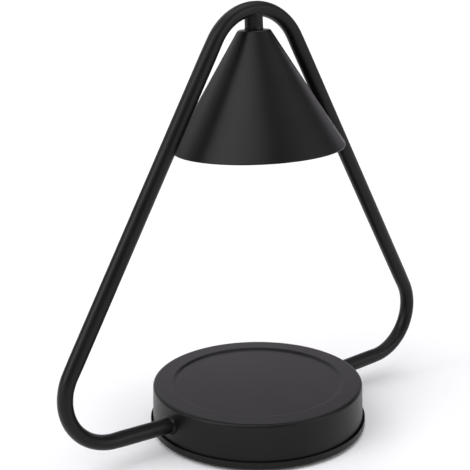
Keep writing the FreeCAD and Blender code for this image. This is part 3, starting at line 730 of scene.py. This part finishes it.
def drill(radius: float, length: float, sides: int = 48) -> bmesh.types.BMesh:
    """A round cutter on +Z from the origin."""
    corners = [Corner(0.0, 0.0), Corner(radius, 0.0), Corner(radius, length), Corner(0.0, length)]
    return turned([corner.at() for corner in corners], sides)


def moved(bm: bmesh.types.BMesh, placement: Matrix) -> bmesh.types.BMesh:
    """The same mesh after a placement."""
    bm.transform(placement)
    return bm


def mount(piece: bpy.types.Object, finish: Finish, body: Body = Body.STAND) -> None:
    """Give a piece its finish and the body that it rides on.

    Args:
        piece: The piece's object.
        finish: Its finish.
        body: The body that carries it.
    """
    piece.data.materials.clear()
    piece.data.materials.append(finish.material())
    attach(piece, body.value)
    LOG.info("%s: %d faces, %s", piece.name, len(piece.data.polygons), finish.name)


def dress(finish: Finish, *nodes: str) -> None:
    """Give frame nodes a detailed finish in place of their plain one.

    Args:
        finish: The finish.
        nodes: The names of the nodes.
    """
    for name in nodes:
        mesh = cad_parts[name].data
        mesh.materials.clear()
        mesh.materials.append(finish.material())
        LOG.info("%s: kept, %s", name, finish.name)


# ---------------------------------------------------------------- base


@dataclass
class LampBase:
    """The drum with its candle seat, the tray, the feet and the cord inlet.

    The drum's wall leans in by its draft, and a flat ring lies between its edge and the seat.
    """

    foot_z: float = 2.55
    top_z: float = 30.2
    wall_r: float = 69.9
    draft: float = 0.75
    metal: float = 1.0
    edge_r: float = 2.0
    ring_w: float = 13.05
    slope_w: float = 1.2
    seat_depth: float = 1.1
    seat_blend: float = 1.5
    tray_r: float = 71.4
    tray_z: float = 1.7
    tray_rim: float = 4.9
    tray_metal: float = 0.8
    tray_bend: float = 0.6
    tray_lip: float = 0.3
    tray_hold: float = 0.08
    screw_x: float = 41.9
    screw_hole_r: float = 1.7
    screw_hole_sides: int = 24
    foot_r: float = 7.0
    foot_edge: float = 0.5
    foot_hollow: float = 0.35
    foot_hollow_r: float = 3.85
    foot_stand_r: float = 4.9
    foot_blend: float = 0.8
    foot_circle: float = 56.4
    foot_count: int = 4
    foot_segments: int = 72
    inlet_z: float = 15.0
    inlet_bore: float = 3.3
    inlet_shank: float = 5.0
    inlet_flange: float = 6.5
    inlet_thick: float = 2.2
    inlet_length: float = 8.5
    inlet_bed: float = 1.0 / 3.0
    inlet_round: float = 0.8
    inlet_end_round: float = 0.4
    inlet_segments: int = 96
    small_hold: float = 0.05
    hole_gap: float = 0.2
    cut_past: float = 1.0
    segments: int = 256

    def drum(self, tube_ways: Sequence[Matrix], tube_r: float) -> None:
        """Build the drawn drum with its three holes.

        Args:
            tube_ways: Placements of the tube's holes, from inside the drum outward.
            tube_r: The radius of the tube.
        """
        crown_r = self.wall_r - self.draft
        seat_r = crown_r - self.ring_w
        seat_z = self.top_z - self.seat_depth
        face = [Corner(0.0, seat_z), Corner(seat_r - self.slope_w, seat_z, self.seat_blend),
                Corner(seat_r, self.top_z, self.seat_blend),
                Corner(crown_r, self.top_z, self.edge_r), Corner(self.wall_r, self.foot_z)]
        piece = new_object("BaseDrum", turned(rounded(sheet(face, self.metal)), self.segments))
        cutters = [moved(drill(tube_r + self.hole_gap, self.wall_r / 2), way) for way in tube_ways]
        cord_way = aim(Vector((0.0, self.wall_r / 2, self.inlet_z)), Vector((0.0, 1.0, 0.0)))
        cutters.append(moved(drill(self.inlet_shank + self.hole_gap, self.wall_r), cord_way))
        carve(piece, cutters)
        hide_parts("base_cap")
        mount(piece, BLACK_COAT)

    def tray(self) -> None:
        """Build the pan with its rolled lip and two screw holes."""
        lip_z = self.tray_z + self.tray_rim
        floor_z = self.tray_z + self.tray_metal
        inner_r = self.tray_r - self.tray_metal
        outline = [Corner(0.0, self.tray_z),
                   Corner(self.tray_r, self.tray_z, self.tray_bend + self.tray_metal),
                   Corner(self.tray_r, lip_z, self.tray_lip), Corner(inner_r, lip_z, self.tray_lip),
                   Corner(inner_r, floor_z, self.tray_bend), Corner(0.0, floor_z)]
        pan = turned(rounded(outline, hold=self.tray_hold), self.segments)
        piece = new_object("BaseTray", pan)
        depth = self.tray_metal + 2 * self.cut_past
        holes = []
        for side in (-1, 1):
            place = Vector((side * self.screw_x, 0.0, self.tray_z - self.cut_past))
            hole = drill(self.screw_hole_r, depth, self.screw_hole_sides)
            holes.append(moved(hole, Matrix.Translation(place)))
        carve(piece, holes)
        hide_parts("base_tray")
        mount(piece, BLACK_COAT)

    def feet(self) -> None:
        """Build the four pads, hollowed a little where they stand."""
        outline = rounded([Corner(0.0, self.foot_hollow),
                           Corner(self.foot_hollow_r, self.foot_hollow, self.foot_blend),
                           Corner(self.foot_stand_r, 0.0, self.foot_blend),
                           Corner(self.foot_r, 0.0, self.foot_edge),
                           Corner(self.foot_r, self.tray_z), Corner(0.0, self.tray_z)],
                          hold=self.small_hold)
        pads = []
        for index in range(self.foot_count):
            angle = 2 * math.pi * (index + 0.5) / self.foot_count
            place = Vector((math.cos(angle), math.sin(angle), 0.0)) * self.foot_circle
            pads.append(moved(turned(outline, self.foot_segments), Matrix.Translation(place)))
        piece = new_object("FootPads", merged(pads))
        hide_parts("foot_pads")
        mount(piece, RUBBER)

    def inlet(self) -> None:
        """Build the flanged bushing in the rear wall."""
        wall_y = self.wall_r - self.draft * (self.inlet_z - self.foot_z) / (self.top_z - self.foot_z)
        seat = self.inlet_thick + self.inlet_bed
        outline = [Corner(self.inlet_bore, 0.0, self.inlet_round),
                   Corner(self.inlet_flange, 0.0, self.inlet_round),
                   Corner(self.inlet_flange, seat), Corner(self.inlet_shank, seat),
                   Corner(self.inlet_shank, self.inlet_length, self.inlet_end_round),
                   Corner(self.inlet_bore, self.inlet_length, self.inlet_end_round)]
        bushing = turned(rounded(outline, hold=self.small_hold), self.inlet_segments)
        way = aim(Vector((0.0, wall_y + self.inlet_thick, self.inlet_z)), Vector((0.0, -1.0, 0.0)))
        piece = new_object("CordBushing", moved(bushing, way))
        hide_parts("cord_bushing")
        mount(piece, BLACK_NYLON)

    def build(self, tube_ways: Sequence[Matrix], tube_r: float) -> None:
        """Build and dress the whole base.

        Args:
            tube_ways: Placements of the tube's holes, from inside the drum outward.
            tube_r: The radius of the tube.
        """
        self.drum(tube_ways, tube_r)
        self.tray()
        self.feet()
        self.inlet()
        dress(ZINC, "base_bridge", "tray_screws")
        dress(BLACK_NYLON, "bushing_nut")


# ---------------------------------------------------------------- tube frame


@dataclass(frozen=True)
class Station:
    """A place on the tube's middle line, its way, and the share of the flattening that it has."""

    place: Vector
    way: Vector
    bent: float


@dataclass(frozen=True)
class Lean:
    """How far the hung shade and its boss are out of plumb, as set by hand at the weld.

    The two turns are about level lines: the first along the heading, the other across it.
    """

    side_deg: float = 1.9
    nod_deg: float = 0.8
    slip: float = 1.0
    pivot_z: float = BOSS_FOOT_Z
    heading_deg: float = 36.8

    def placement(self) -> Matrix:
        """The turn about the boss's foot and its slip sideways.

        Returns:
            The placement of what hangs on the boss, in millimetres.
        """
        turn = math.radians(self.heading_deg)
        ahead = Vector((math.sin(turn), math.cos(turn), 0.0))
        across = Vector((ahead.y, -ahead.x, 0.0))
        pivot = Vector((0.0, 0.0, self.pivot_z))
        swing = Matrix.Rotation(math.radians(-self.side_deg), 4, ahead)
        nod = Matrix.Rotation(math.radians(self.nod_deg), 4, across)
        return Matrix.Translation(pivot - across * self.slip) @ swing @ nod @ Matrix.Translation(-pivot)


@dataclass
class TubeFrame:
    """The bent tube, its collars at the drum, and the boss that carries the shade.

    In a bend the tube is thinner by its flattening and wider by its spread. Both fade out over a
    length on each side of the point where the bend starts.
    """

    width: float = 292.0
    height: float = 275.5
    entry_z: float = 17.9
    entry_r: float = 69.48
    end_depth: float = 9.8
    leg_deg: float = 2.5
    low_bend: float = 32.8
    top_bend: float = 35.3
    tube_r: float = 5.0
    metal: float = 1.0
    flatten: float = 0.085
    spread: float = 0.03
    fade_length: float = 20.0
    start_share: float = 0.5
    bend_step_deg: float = 2.5
    run_step: float = 5.0
    run_least: int = 4
    leg_rise_most: float = 20.0
    sides: int = 56
    collar_r: float = 6.2
    collar_nose_r: float = 5.2
    collar_nose_edge: float = 0.1
    collar_slope: float = 1.4
    collar_out: float = 1.6
    collar_in: float = 0.45
    collar_edge: float = 0.3
    collar_gap: float = 0.02
    collar_hold: float = 0.05
    ring_segments: int = 96
    boss_r: float = 5.6
    boss_foot_r: float = 5.85
    boss_foot_h: float = 1.6
    boss_foot_edge: float = 0.25
    boss_waist: float = 1.5
    boss_wrap: float = 2.5
    boss_top_edge: float = 0.5
    boss_low: float = BOSS_FOOT_Z
    boss_bore: float = 4.02
    boss_bore_edge: float = 0.2
    boss_hold: float = 0.06
    thread_top: float = 264.5
    lead_bore: float = 3.5
    weld_r: float = 0.5
    weld_sides: int = 12
    weld_steps: int = 120
    lean: Lean = Lean()
    path: list[Station] = field(default_factory=list)

    def __post_init__(self) -> None:
        """Work out the tube's middle line."""
        self.path = self.middle_line()

    def leg_way(self, side: int) -> Vector:
        """The direction of a leg as it leaves the drum."""
        slope = math.radians(self.leg_deg)
        return Vector((side * math.cos(slope), 0.0, math.sin(slope)))

    def leg_point(self, side: int, depth: float) -> Vector:
        """A point of a leg's middle line at a depth inside the drum's wall."""
        return Vector((side * self.entry_r, 0.0, self.entry_z)) - self.leg_way(side) * depth

    def corners(self) -> list[Vector]:
        """The end points of the tube and the corners where its straight runs would meet.

        Returns:
            Five points, from the left end over the top to the right end.
        """
        slope = math.radians(self.leg_deg)
        low_x = self.width / 2 - self.tube_r - self.low_bend
        low_z = self.entry_z + (low_x - self.entry_r) * math.tan(slope) + self.low_bend / math.cos(slope)
        top_z = self.height - self.tube_r - self.top_bend
        rise = Vector((-low_x, top_z - low_z))
        heading = math.atan2(rise.y, rise.x)
        heading -= math.asin((self.top_bend - self.low_bend) / rise.length)
        way = Vector((math.cos(heading), 0.0, math.sin(heading)))
        outward = Vector((math.sin(heading), 0.0, -math.cos(heading)))
        start = Vector((low_x, 0.0, low_z)) + outward * self.low_bend
        leg = self.leg_point(1, 0.0)
        leg_way = self.leg_way(1)
        across = leg_way.x * way.z - leg_way.z * way.x
        gap = start - leg
        low = leg + leg_way * ((gap.x * way.z - gap.z * way.x) / across)
        top = start + way * (-start.x / way.x)
        mirror = Vector((-1.0, 1.0, 1.0))
        return [self.leg_point(-1, self.end_depth), low * mirror, top, low,
                self.leg_point(1, self.end_depth)]

    def middle_line(self) -> list[Station]:
        """The tube's middle line: straight runs joined by tangent bends.

        Returns:
            Stations in order from the left end to the right end.
        """
        corners = self.corners()
        bends = [self.low_bend, self.top_bend, self.low_bend]
        stations: list[Station] = []
        start = corners[0]
        for before, corner, after, bend in zip(corners, corners[1:], corners[2:], bends):
            arrive = (corner - before).normalized()
            leave = (after - corner).normalized()
            turn = arrive.angle(leave)
            setback = bend * math.tan(turn / 2)
            arc_start = corner - arrive * setback
            axis = arrive.cross(leave).normalized()
            centre = arc_start + axis.cross(arrive) * bend
            stations += self.straight(start, arc_start)
            steps = math.ceil(math.degrees(turn) / self.bend_step_deg)
            for step in range(steps + 1):
                spin = Matrix.Rotation(turn * step / steps, 3, axis)
                run = min(step, steps - step) * turn / steps * bend
                bent = min(1.0, self.start_share + run / self.fade_length)
                stations.append(Station(centre + spin @ (arc_start - centre), spin @ arrive, bent))
            start = corner + leave * setback
        return stations + self.straight(start, corners[-1])

    def straight(self, start: Vector, end: Vector) -> list[Station]:
        """Stations of a straight run, its ends still a little flattened by the bends beside them.

        Args:
            start: Where the run starts.
            end: Where it ends.

        Returns:
            The stations between the two. A run that hardly rises is a leg, and stays round.
        """
        run = end - start
        is_side = abs(run.z) > self.leg_rise_most
        count = max(self.run_least, math.ceil(run.length / self.run_step))
        stations = []
        for step in range(1, count):
            share = step / count
            near = min(share, 1 - share) * run.length
            bent = max(0.0, self.start_share - near / self.fade_length) if is_side else 0.0
            stations.append(Station(start + run * share, run.normalized(), bent))
        return stations

    def skin(self, inset: float, bm: bmesh.types.BMesh) -> list[list[bmesh.types.BMVert]]:
        """Rings of points along the tube.

        Args:
            inset: How far the rings lie inside the tube's outside.
            bm: The mesh that gets the points.

        Returns:
            A ring for each station.
        """
        rings = []
        across = Vector((0.0, 1.0, 0.0))
        for station in self.path:
            inward = station.way.cross(across)
            thin = self.tube_r * (1 - self.flatten * station.bent) - inset
            wide = self.tube_r * (1 + self.spread * station.bent) - inset
            ring = []
            for step in range(self.sides):
                angle = 2 * math.pi * step / self.sides
                offset = across * (wide * math.cos(angle)) + inward * (thin * math.sin(angle))
                ring.append(bm.verts.new(station.place + offset))
            rings.append(ring)
        return rings

    def bar(self, hollow: bool) -> bmesh.types.BMesh:
        """The tube's shape.

        Args:
            hollow: Whether it has its bore or is a solid bar.

        Returns:
            The mesh, in millimetres.
        """
        bm = bmesh.new()
        layers = [self.skin(0.0, bm)] + ([self.skin(self.metal, bm)] if hollow else [])
        for rings in layers:
            for ring, following in zip(rings, rings[1:]):
                band(bm, ring, following)
        for end in (0, -1):
            if hollow:
                band(bm, layers[0][end], layers[1][end])
            else:
                bm.faces.new(layers[0][end])
        return bm

    def tube(self) -> None:
        """Build the tube with the hole that passes the leads down into the boss."""
        piece = new_object("FrameTube", self.bar(hollow=True))
        under_z = self.height - 2 * self.tube_r
        start = Vector((0.0, 0.0, under_z - self.tube_r))
        carve(piece, [moved(drill(self.lead_bore, 2 * self.tube_r), Matrix.Translation(start))])
        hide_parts("frame_tube")
        mount(piece, BLACK_COAT)

    def collars(self) -> None:
        """Build the two rings that cover the tube's holes in the drum."""
        length = self.collar_out + self.collar_in
        bore = self.tube_r + self.collar_gap
        outline = rounded([Corner(bore, 0.0), Corner(self.collar_nose_r, 0.0, self.collar_nose_edge),
                           Corner(self.collar_r, self.collar_slope, self.collar_edge),
                           Corner(self.collar_r, length), Corner(bore, length)],
                          hold=self.collar_hold)
        rings = []
        for side in (-1, 1):
            way = aim(self.leg_point(side, -self.collar_out), -self.leg_way(side))
            rings.append(moved(turned(outline, self.ring_segments), way))
        piece = new_object("TubeCollars", merged(rings))
        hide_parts("tube_collars")
        mount(piece, BLACK_COAT)

    def boss(self) -> None:
        """Build the boss under the top bend and the weld that joins it to the tube."""
        top = self.height - 2 * self.tube_r + self.boss_wrap
        outline = [Corner(self.boss_bore, self.boss_low, self.boss_bore_edge),
                   Corner(self.boss_foot_r, self.boss_low, self.boss_foot_edge),
                   Corner(self.boss_r, self.boss_low + self.boss_foot_h, self.boss_waist),
                   Corner(self.boss_r, top, self.boss_top_edge), Corner(self.lead_bore, top),
                   Corner(self.lead_bore, self.thread_top), Corner(self.boss_bore, self.thread_top)]
        post = turned(rounded(outline, hold=self.boss_hold), self.ring_segments)
        piece = new_object("StemBoss", moved(post, self.lean.placement()))
        carve(piece, [self.bar(hollow=False)])
        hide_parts("stem_boss")
        mount(piece, BLACK_COAT)
        bead = swept(self.weld_line(top), self.weld_r, self.weld_sides, closed=True)
        weld = new_object("StemWeld", bead)
        mount(weld, BLACK_COAT)

    def weld_line(self, top: float) -> list[Vector]:
        """The line where the boss meets the tube, all the way round.

        Args:
            top: The height of the boss's top, which wraps the tube.

        Returns:
            The line's points.
        """
        wide = self.tube_r * (1 + self.spread)
        thin = self.tube_r * (1 - self.flatten)
        middle_z = self.height - self.tube_r
        reach = wide * math.sqrt(1 - ((middle_z - top) / thin) ** 2)
        middle = self.lean.placement() @ Vector((0.0, 0.0, top))
        line = []
        for step in range(self.weld_steps):
            angle = 2 * math.pi * step / self.weld_steps
            x = middle.x + self.boss_r * math.cos(angle)
            y = max(-reach, min(reach, middle.y + self.boss_r * math.sin(angle)))
            drop = thin * math.sqrt(1 - (y / wide) ** 2)
            sag = self.top_bend - math.sqrt(self.top_bend ** 2 - x ** 2)
            line.append(Vector((x, y, middle_z - drop - sag)))
        return line

    def hole_ways(self) -> list[Matrix]:
        """Placements of the tube's holes in the drum, from inside outward."""
        return [aim(self.leg_point(side, self.entry_r / 4), self.leg_way(side)) for side in (-1, 1)]

    def build(self) -> None:
        """Build and dress the tube frame."""
        self.tube()
        self.collars()
        self.boss()
        dress(ZINC, "tube_washers", "tube_locknuts", "stem_nipple")
        dress(BLACK_NYLON, "tube_end_bush")


# ---------------------------------------------------------------- shade


@dataclass
class ConeShade:
    """The spun cone with its flat top and folded rim."""

    top_z: float = BOSS_FOOT_Z
    length: float = 72.2
    top_r: float = 9.9
    rim_r: float = 54.7
    metal: float = 0.8
    hole_r: float = 4.1
    edge_r: float = 1.0
    hem_h: float = 4.0
    hem_metal: float = 0.8
    hem_edge: float = 0.6
    hold: float = 0.1
    segments: int = 256
    lean: Lean = Lean()

    def build(self) -> None:
        """Build and dress the shade with its washer and nut."""
        slope = (self.rim_r - self.top_r) / self.length
        stretch = math.hypot(1.0, slope)
        low = self.top_z - self.length
        fold_r = self.rim_r - (self.metal + self.hem_metal) * stretch
        hem_r = fold_r - slope * self.hem_h
        under = self.top_z - self.metal
        outline = [Corner(self.hole_r, self.top_z),
                   Corner(self.top_r, self.top_z, self.edge_r + self.metal),
                   Corner(self.rim_r, low, self.hem_edge), Corner(fold_r, low, self.hem_edge),
                   Corner(hem_r, low + self.hem_h),
                   Corner(hem_r + self.hem_metal * stretch, low + self.hem_h),
                   Corner(self.top_r + self.metal * (slope - stretch), under, self.edge_r),
                   Corner(self.hole_r, under)]
        cone = turned(rounded(outline, hold=self.hold), self.segments)
        piece = new_object("ConeShade", moved(cone, self.lean.placement()))
        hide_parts("shade")
        mount(piece, BLACK_COAT)
        dress(ZINC, "shade_washer", "shade_locknut")


# ---------------------------------------------------------------- lamp holder and bulb


@dataclass
class LampHolder:
    """The bracket, the ceramic holder and its contacts."""

    def build(self) -> None:
        """Dress the holder's pieces."""
        dress(ZINC, "holder_bracket", "holder_screws")
        dress(CERAMIC, "lamp_holder_body")
        dress(BRASS, "holder_contacts")


@dataclass
class ReflectorBulb:
    """The twist-lock bulb: dimpled reflector, pressed lens, capsule and coiled filament."""

    top_z: float = 230.74
    length: float = 45.0
    rim_r: float = 24.8
    base_h: float = 14.0
    neck_r: float = 9.4
    neck_h: float = 5.0
    shoulder: float = 7.0
    shoulder_r: float = 10.0
    bell_r: float = 16.0
    rim_h: float = 6.0
    glass: float = 1.6
    ledge: float = 0.05
    bell_step: float = 0.6
    bell_step_deg: float = 5.0
    bell_segments: int = 240
    dimples: int = 20
    dimple_h: float = 3.4
    dimple_depth: float = 0.35
    dimple_margin: float = 1.0
    lens_glass: float = 2.0
    lens_sink: float = 0.3
    lens_edge: float = 0.5
    lens_ring: float = 1.9
    lens_ripple: float = 0.09
    lens_steps: int = 96
    lens_segments: int = 192
    coil_r: float = 0.7
    coil_w: float = 5.0
    coil_turns: int = 15
    coil_steps: int = 14
    wire_r: float = 0.13
    wire_sides: int = 8
    filament_drop: float = 8.8

    def reflector(self) -> None:
        """Build the bell: plain outside, dimpled inside."""
        low = self.top_z - self.length
        neck_low = self.top_z - self.base_h
        mid_r = (self.neck_r + self.rim_r) / 2
        face = [Corner(self.neck_r, neck_low + self.neck_h - self.ledge),
                Corner(self.neck_r, neck_low - self.ledge),
                Corner(mid_r, neck_low - self.shoulder, self.shoulder_r),
                Corner(self.rim_r, low + self.rim_h, self.bell_r), Corner(self.rim_r, low)]
        walls = rounded(sheet(face, self.glass), step_deg=self.bell_step_deg)
        outline = self.finely(walls, self.bell_step)
        inside = {id(point) for point in outline[len(outline) // 2:]}
        bell_low = low + self.rim_h
        bell_high = neck_low - self.dimple_margin

        def dimple(point: Vector, angle: float) -> float:
            """How far the glass is pressed outward on its inside.

            Args:
                point: The point of the outline.
                angle: Its turn about the bulb's axis.

            Returns:
                What is added to the point's radius.
            """
            if id(point) not in inside or not bell_low < point.y < bell_high:
                return 0.0
            row, share = divmod((point.y - bell_low) / self.dimple_h, 1.0)
            turn = angle * self.dimples + math.pi * (row % 2)
            return self.dimple_depth * math.sin(math.pi * share) * (1 + math.cos(turn)) / 2

        piece = new_object("BulbReflector", turned(outline, self.bell_segments, dimple))
        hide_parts("bulb_reflector")
        mount(piece, MIRROR, Body.BULB)

    @staticmethod
    def finely(points: Sequence[Vector], step: float) -> list[Vector]:
        """The same closed outline with more points.

        Args:
            points: The outline's points.
            step: The most that two points may lie apart.

        Returns:
            The points with the new ones between them.
        """
        fine = []
        for first, second in zip(points, [*points[1:], points[0]]):
            count = max(1, math.ceil((second - first).length / step))
            fine += [first.lerp(second, share / count) for share in range(count)]
        return fine

    def lens(self) -> None:
        """Build the cover glass, pressed with fine rings on its inner face."""
        radius = self.rim_r - self.glass - self.ledge
        low = self.top_z - self.length + self.lens_sink
        high = low + self.lens_glass
        outline = rounded([Corner(0.0, low), Corner(radius, low, self.lens_edge),
                           Corner(radius, high)], closed=False)
        for step in range(1, self.lens_steps + 1):
            r = (radius - self.lens_edge) * (1 - step / self.lens_steps)
            ripple = self.lens_ripple * math.cos(2 * math.pi * r / self.lens_ring)
            outline.append(Vector((r, high - self.lens_ripple + ripple)))
        piece = new_object("BulbLens", turned(outline, self.lens_segments))
        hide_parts("bulb_lens")
        mount(piece, GLASS, Body.BULB)

    def filament(self) -> None:
        """Build the coiled wire and its two legs."""
        level = self.top_z - self.base_h - self.filament_drop
        leg_top = level + self.filament_drop - self.coil_r
        half = self.coil_w / 2
        steps = self.coil_turns * self.coil_steps
        line = [Vector((-half, 0.0, leg_top))]
        for step in range(steps + 1):
            share = step / steps
            angle = 2 * math.pi * self.coil_turns * share + math.pi / 2
            line.append(Vector((half * (2 * share - 1), self.coil_r * math.cos(angle),
                                level + self.coil_r * math.sin(angle))))
        line.append(Vector((half, 0.0, leg_top)))
        wire = swept(line, self.wire_r, self.wire_sides, closed=False)
        piece = new_object("BulbFilament", wire)
        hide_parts("bulb_filament")
        mount(piece, TUNGSTEN, Body.BULB)

    def build(self) -> None:
        """Build and dress the bulb."""
        self.reflector()
        self.lens()
        self.filament()
        dress(NICKEL, "bulb_pins")
        dress(CERAMIC, "bulb_base")
        dress(GLASS, "bulb_capsule")


@dataclass
class Wiring:
    """The terminal block in the base and the leads to the holder."""

    def build(self) -> None:
        """Dress the block, its clamps and screws, and the leads."""
        dress(WHITE_NYLON, "terminal_block")
        dress(BRASS, "terminal_clamps")
        dress(ZINC, "terminal_screws", "block_screw")
        dress(SILICONE, "lamp_leads")


# ---------------------------------------------------------------- studio


WHITE: Rgb = (1.0, 1.0, 1.0)
LILAC: Rgb = (1.03, 0.96, 1.055)


class Spread(Enum):
    """How a soft glow gathers about its way: the power of its fall-off to the sides."""

    WIDE = 18.0
    NARROW = 70.0
    SHARP = 90.0


@dataclass(frozen=True)
class SoftStrip:
    """A strip of even, soft glows in the surroundings, at one height.

    Angles are in degrees: elevation above the floor, and azimuth from -Y round by +X.
    """

    elevation: float
    azimuth: float
    light: float
    count: int = 1
    step: float = 15.0
    spread: Spread = Spread.WIDE
    tint: Rgb = WHITE

    def ways(self) -> list[Vector]:
        """The way to each of the strip's glows.

        Returns:
            Unit vectors, from the lamp outward.
        """
        tilt = math.radians(self.elevation)
        found = []
        for index in range(self.count):
            turn = math.radians(self.azimuth + self.step * index)
            level = Vector((math.sin(turn), -math.cos(turn), 0.0)) * math.cos(tilt)
            found.append(level + UP * math.sin(tilt))
        return found


@dataclass
class Studio:
    """The pale floor, the soft lights and the camera.

    The eye and the floor's radius are in metres. The strips are named as the camera sees them.
    """

    eye: tuple[float, float, float] = (-0.3765, -0.4796, 0.2949)
    heading_deg: float = 36.829
    pitch_deg: float = 15.175
    roll_deg: float = -0.638
    lens_mm: float = 75.80
    sensor_mm: float = 36.0
    floor_r: float = 40.0
    floor_sides: int = 96
    overhead: SoftStrip = SoftStrip(90.0, 0.0, 2.65)
    left: SoftStrip = SoftStrip(20.0, 262.0, 4.05)
    high_left: SoftStrip = SoftStrip(42.0, 262.0, 2.05)
    front_left: SoftStrip = SoftStrip(50.0, 277.0, 1.80, count=4, spread=Spread.NARROW)
    front_right: SoftStrip = SoftStrip(20.0, 22.0, 2.95)
    right: SoftStrip = SoftStrip(20.0, 52.0, 1.15)
    high_right: SoftStrip = SoftStrip(66.0, 82.0, 1.65)
    rear_left: SoftStrip = SoftStrip(42.0, 172.0, 0.85, count=2, step=30.0)
    low_rear: SoftStrip = SoftStrip(11.0, 97.0, 0.50, count=5, spread=Spread.SHARP, tint=LILAC)
    rear: SoftStrip = SoftStrip(20.0, 112.0, 0.80, count=4, spread=Spread.SHARP, tint=LILAC)
    far_rear: SoftStrip = SoftStrip(20.0, 172.0, 0.80, count=3, spread=Spread.SHARP)

    def strips(self) -> list[SoftStrip]:
        """All the soft strips.

        Returns:
            The strips, from overhead and the left round to the rear.
        """
        return [self.overhead, self.left, self.high_left, self.front_left, self.front_right,
                self.right, self.high_right, self.rear_left, self.low_rear, self.rear,
                self.far_rear]

    def camera(self) -> None:
        """Set up the camera."""
        data = bpy.data.cameras.new("camera")
        data.lens = self.lens_mm
        data.sensor_width = self.sensor_mm
        made = bpy.data.objects.new("camera", data)
        turn = Matrix.Rotation(math.radians(-self.heading_deg), 4, "Z")
        tip = Matrix.Rotation(math.radians(90.0 - self.pitch_deg), 4, "X")
        roll = Matrix.Rotation(math.radians(self.roll_deg), 4, "Z")
        made.matrix_world = Matrix.Translation(self.eye) @ turn @ tip @ roll
        bpy.context.scene.collection.objects.link(made)
        bpy.context.scene.camera = made

    def floor(self) -> None:
        """Lay the floor."""
        bm = bmesh.new()
        bmesh.ops.create_circle(bm, cap_ends=True, cap_tris=True, segments=self.floor_sides,
                                radius=self.floor_r / MM)
        made = new_object("floor", bm)
        made.data.materials.append(PAPER.material())

    @staticmethod
    def glow(tree: bpy.types.NodeTree, strip: SoftStrip, way: Vector,
             others: bpy.types.NodeSocket | None) -> bpy.types.NodeSocket:
        """Add one soft glow to the surroundings.

        Args:
            tree: The nodes of the surroundings.
            strip: The strip that the glow belongs to.
            way: The way to the glow.
            others: The light of the glows so far.

        Returns:
            The light of all the glows with this one.
        """
        here = tree.nodes.new("ShaderNodeTexCoord").outputs["Generated"]
        facing = tree.nodes.new("ShaderNodeVectorMath")
        facing.operation = "DOT_PRODUCT"
        facing.inputs[1].default_value = way
        tree.links.new(here, facing.inputs[0])
        strength = facing.outputs["Value"]
        for operation, number in (("MAXIMUM", 0.0), ("POWER", strip.spread.value)):
            step = tree.nodes.new("ShaderNodeMath")
            step.operation = operation
            step.inputs[1].default_value = number
            tree.links.new(strength, step.inputs[0])
            strength = step.outputs["Value"]
        light = tree.nodes.new("ShaderNodeVectorMath")
        light.operation = "MULTIPLY_ADD"
        light.inputs[1].default_value = Vector(strip.tint) * strip.light
        tree.links.new(strength, light.inputs[0])
        if others is not None:
            tree.links.new(others, light.inputs[2])
        return light.outputs["Vector"]

    def world(self) -> None:
        """Light the surroundings with the sum of the strips' glows."""
        sky = bpy.data.worlds.new("sky")
        sky.use_nodes = True
        tree = sky.node_tree
        total = None
        for strip in self.strips():
            for way in strip.ways():
                total = self.glow(tree, strip, way, total)
        tree.links.new(total, tree.nodes["Background"].inputs["Color"])
        bpy.context.scene.world = sky

    def build(self) -> None:
        """Build the studio."""
        bpy.context.scene.view_settings.view_transform = "Standard"
        self.camera()
        self.floor()
        self.world()
        LOG.info("studio: %d soft strips", len(self.strips()))


def main() -> None:
    """Build the lamp piece by piece, then its studio."""
    logging.basicConfig(level=logging.INFO, format="%(message)s")
    tube_frame = TubeFrame()
    tube_frame.build()
    LampBase().build(tube_frame.hole_ways(), tube_frame.tube_r)
    ConeShade().build()
    LampHolder().build()
    ReflectorBulb().build()
    Wiring().build()
    Studio().build()


if __name__ == "__main__":
    main()
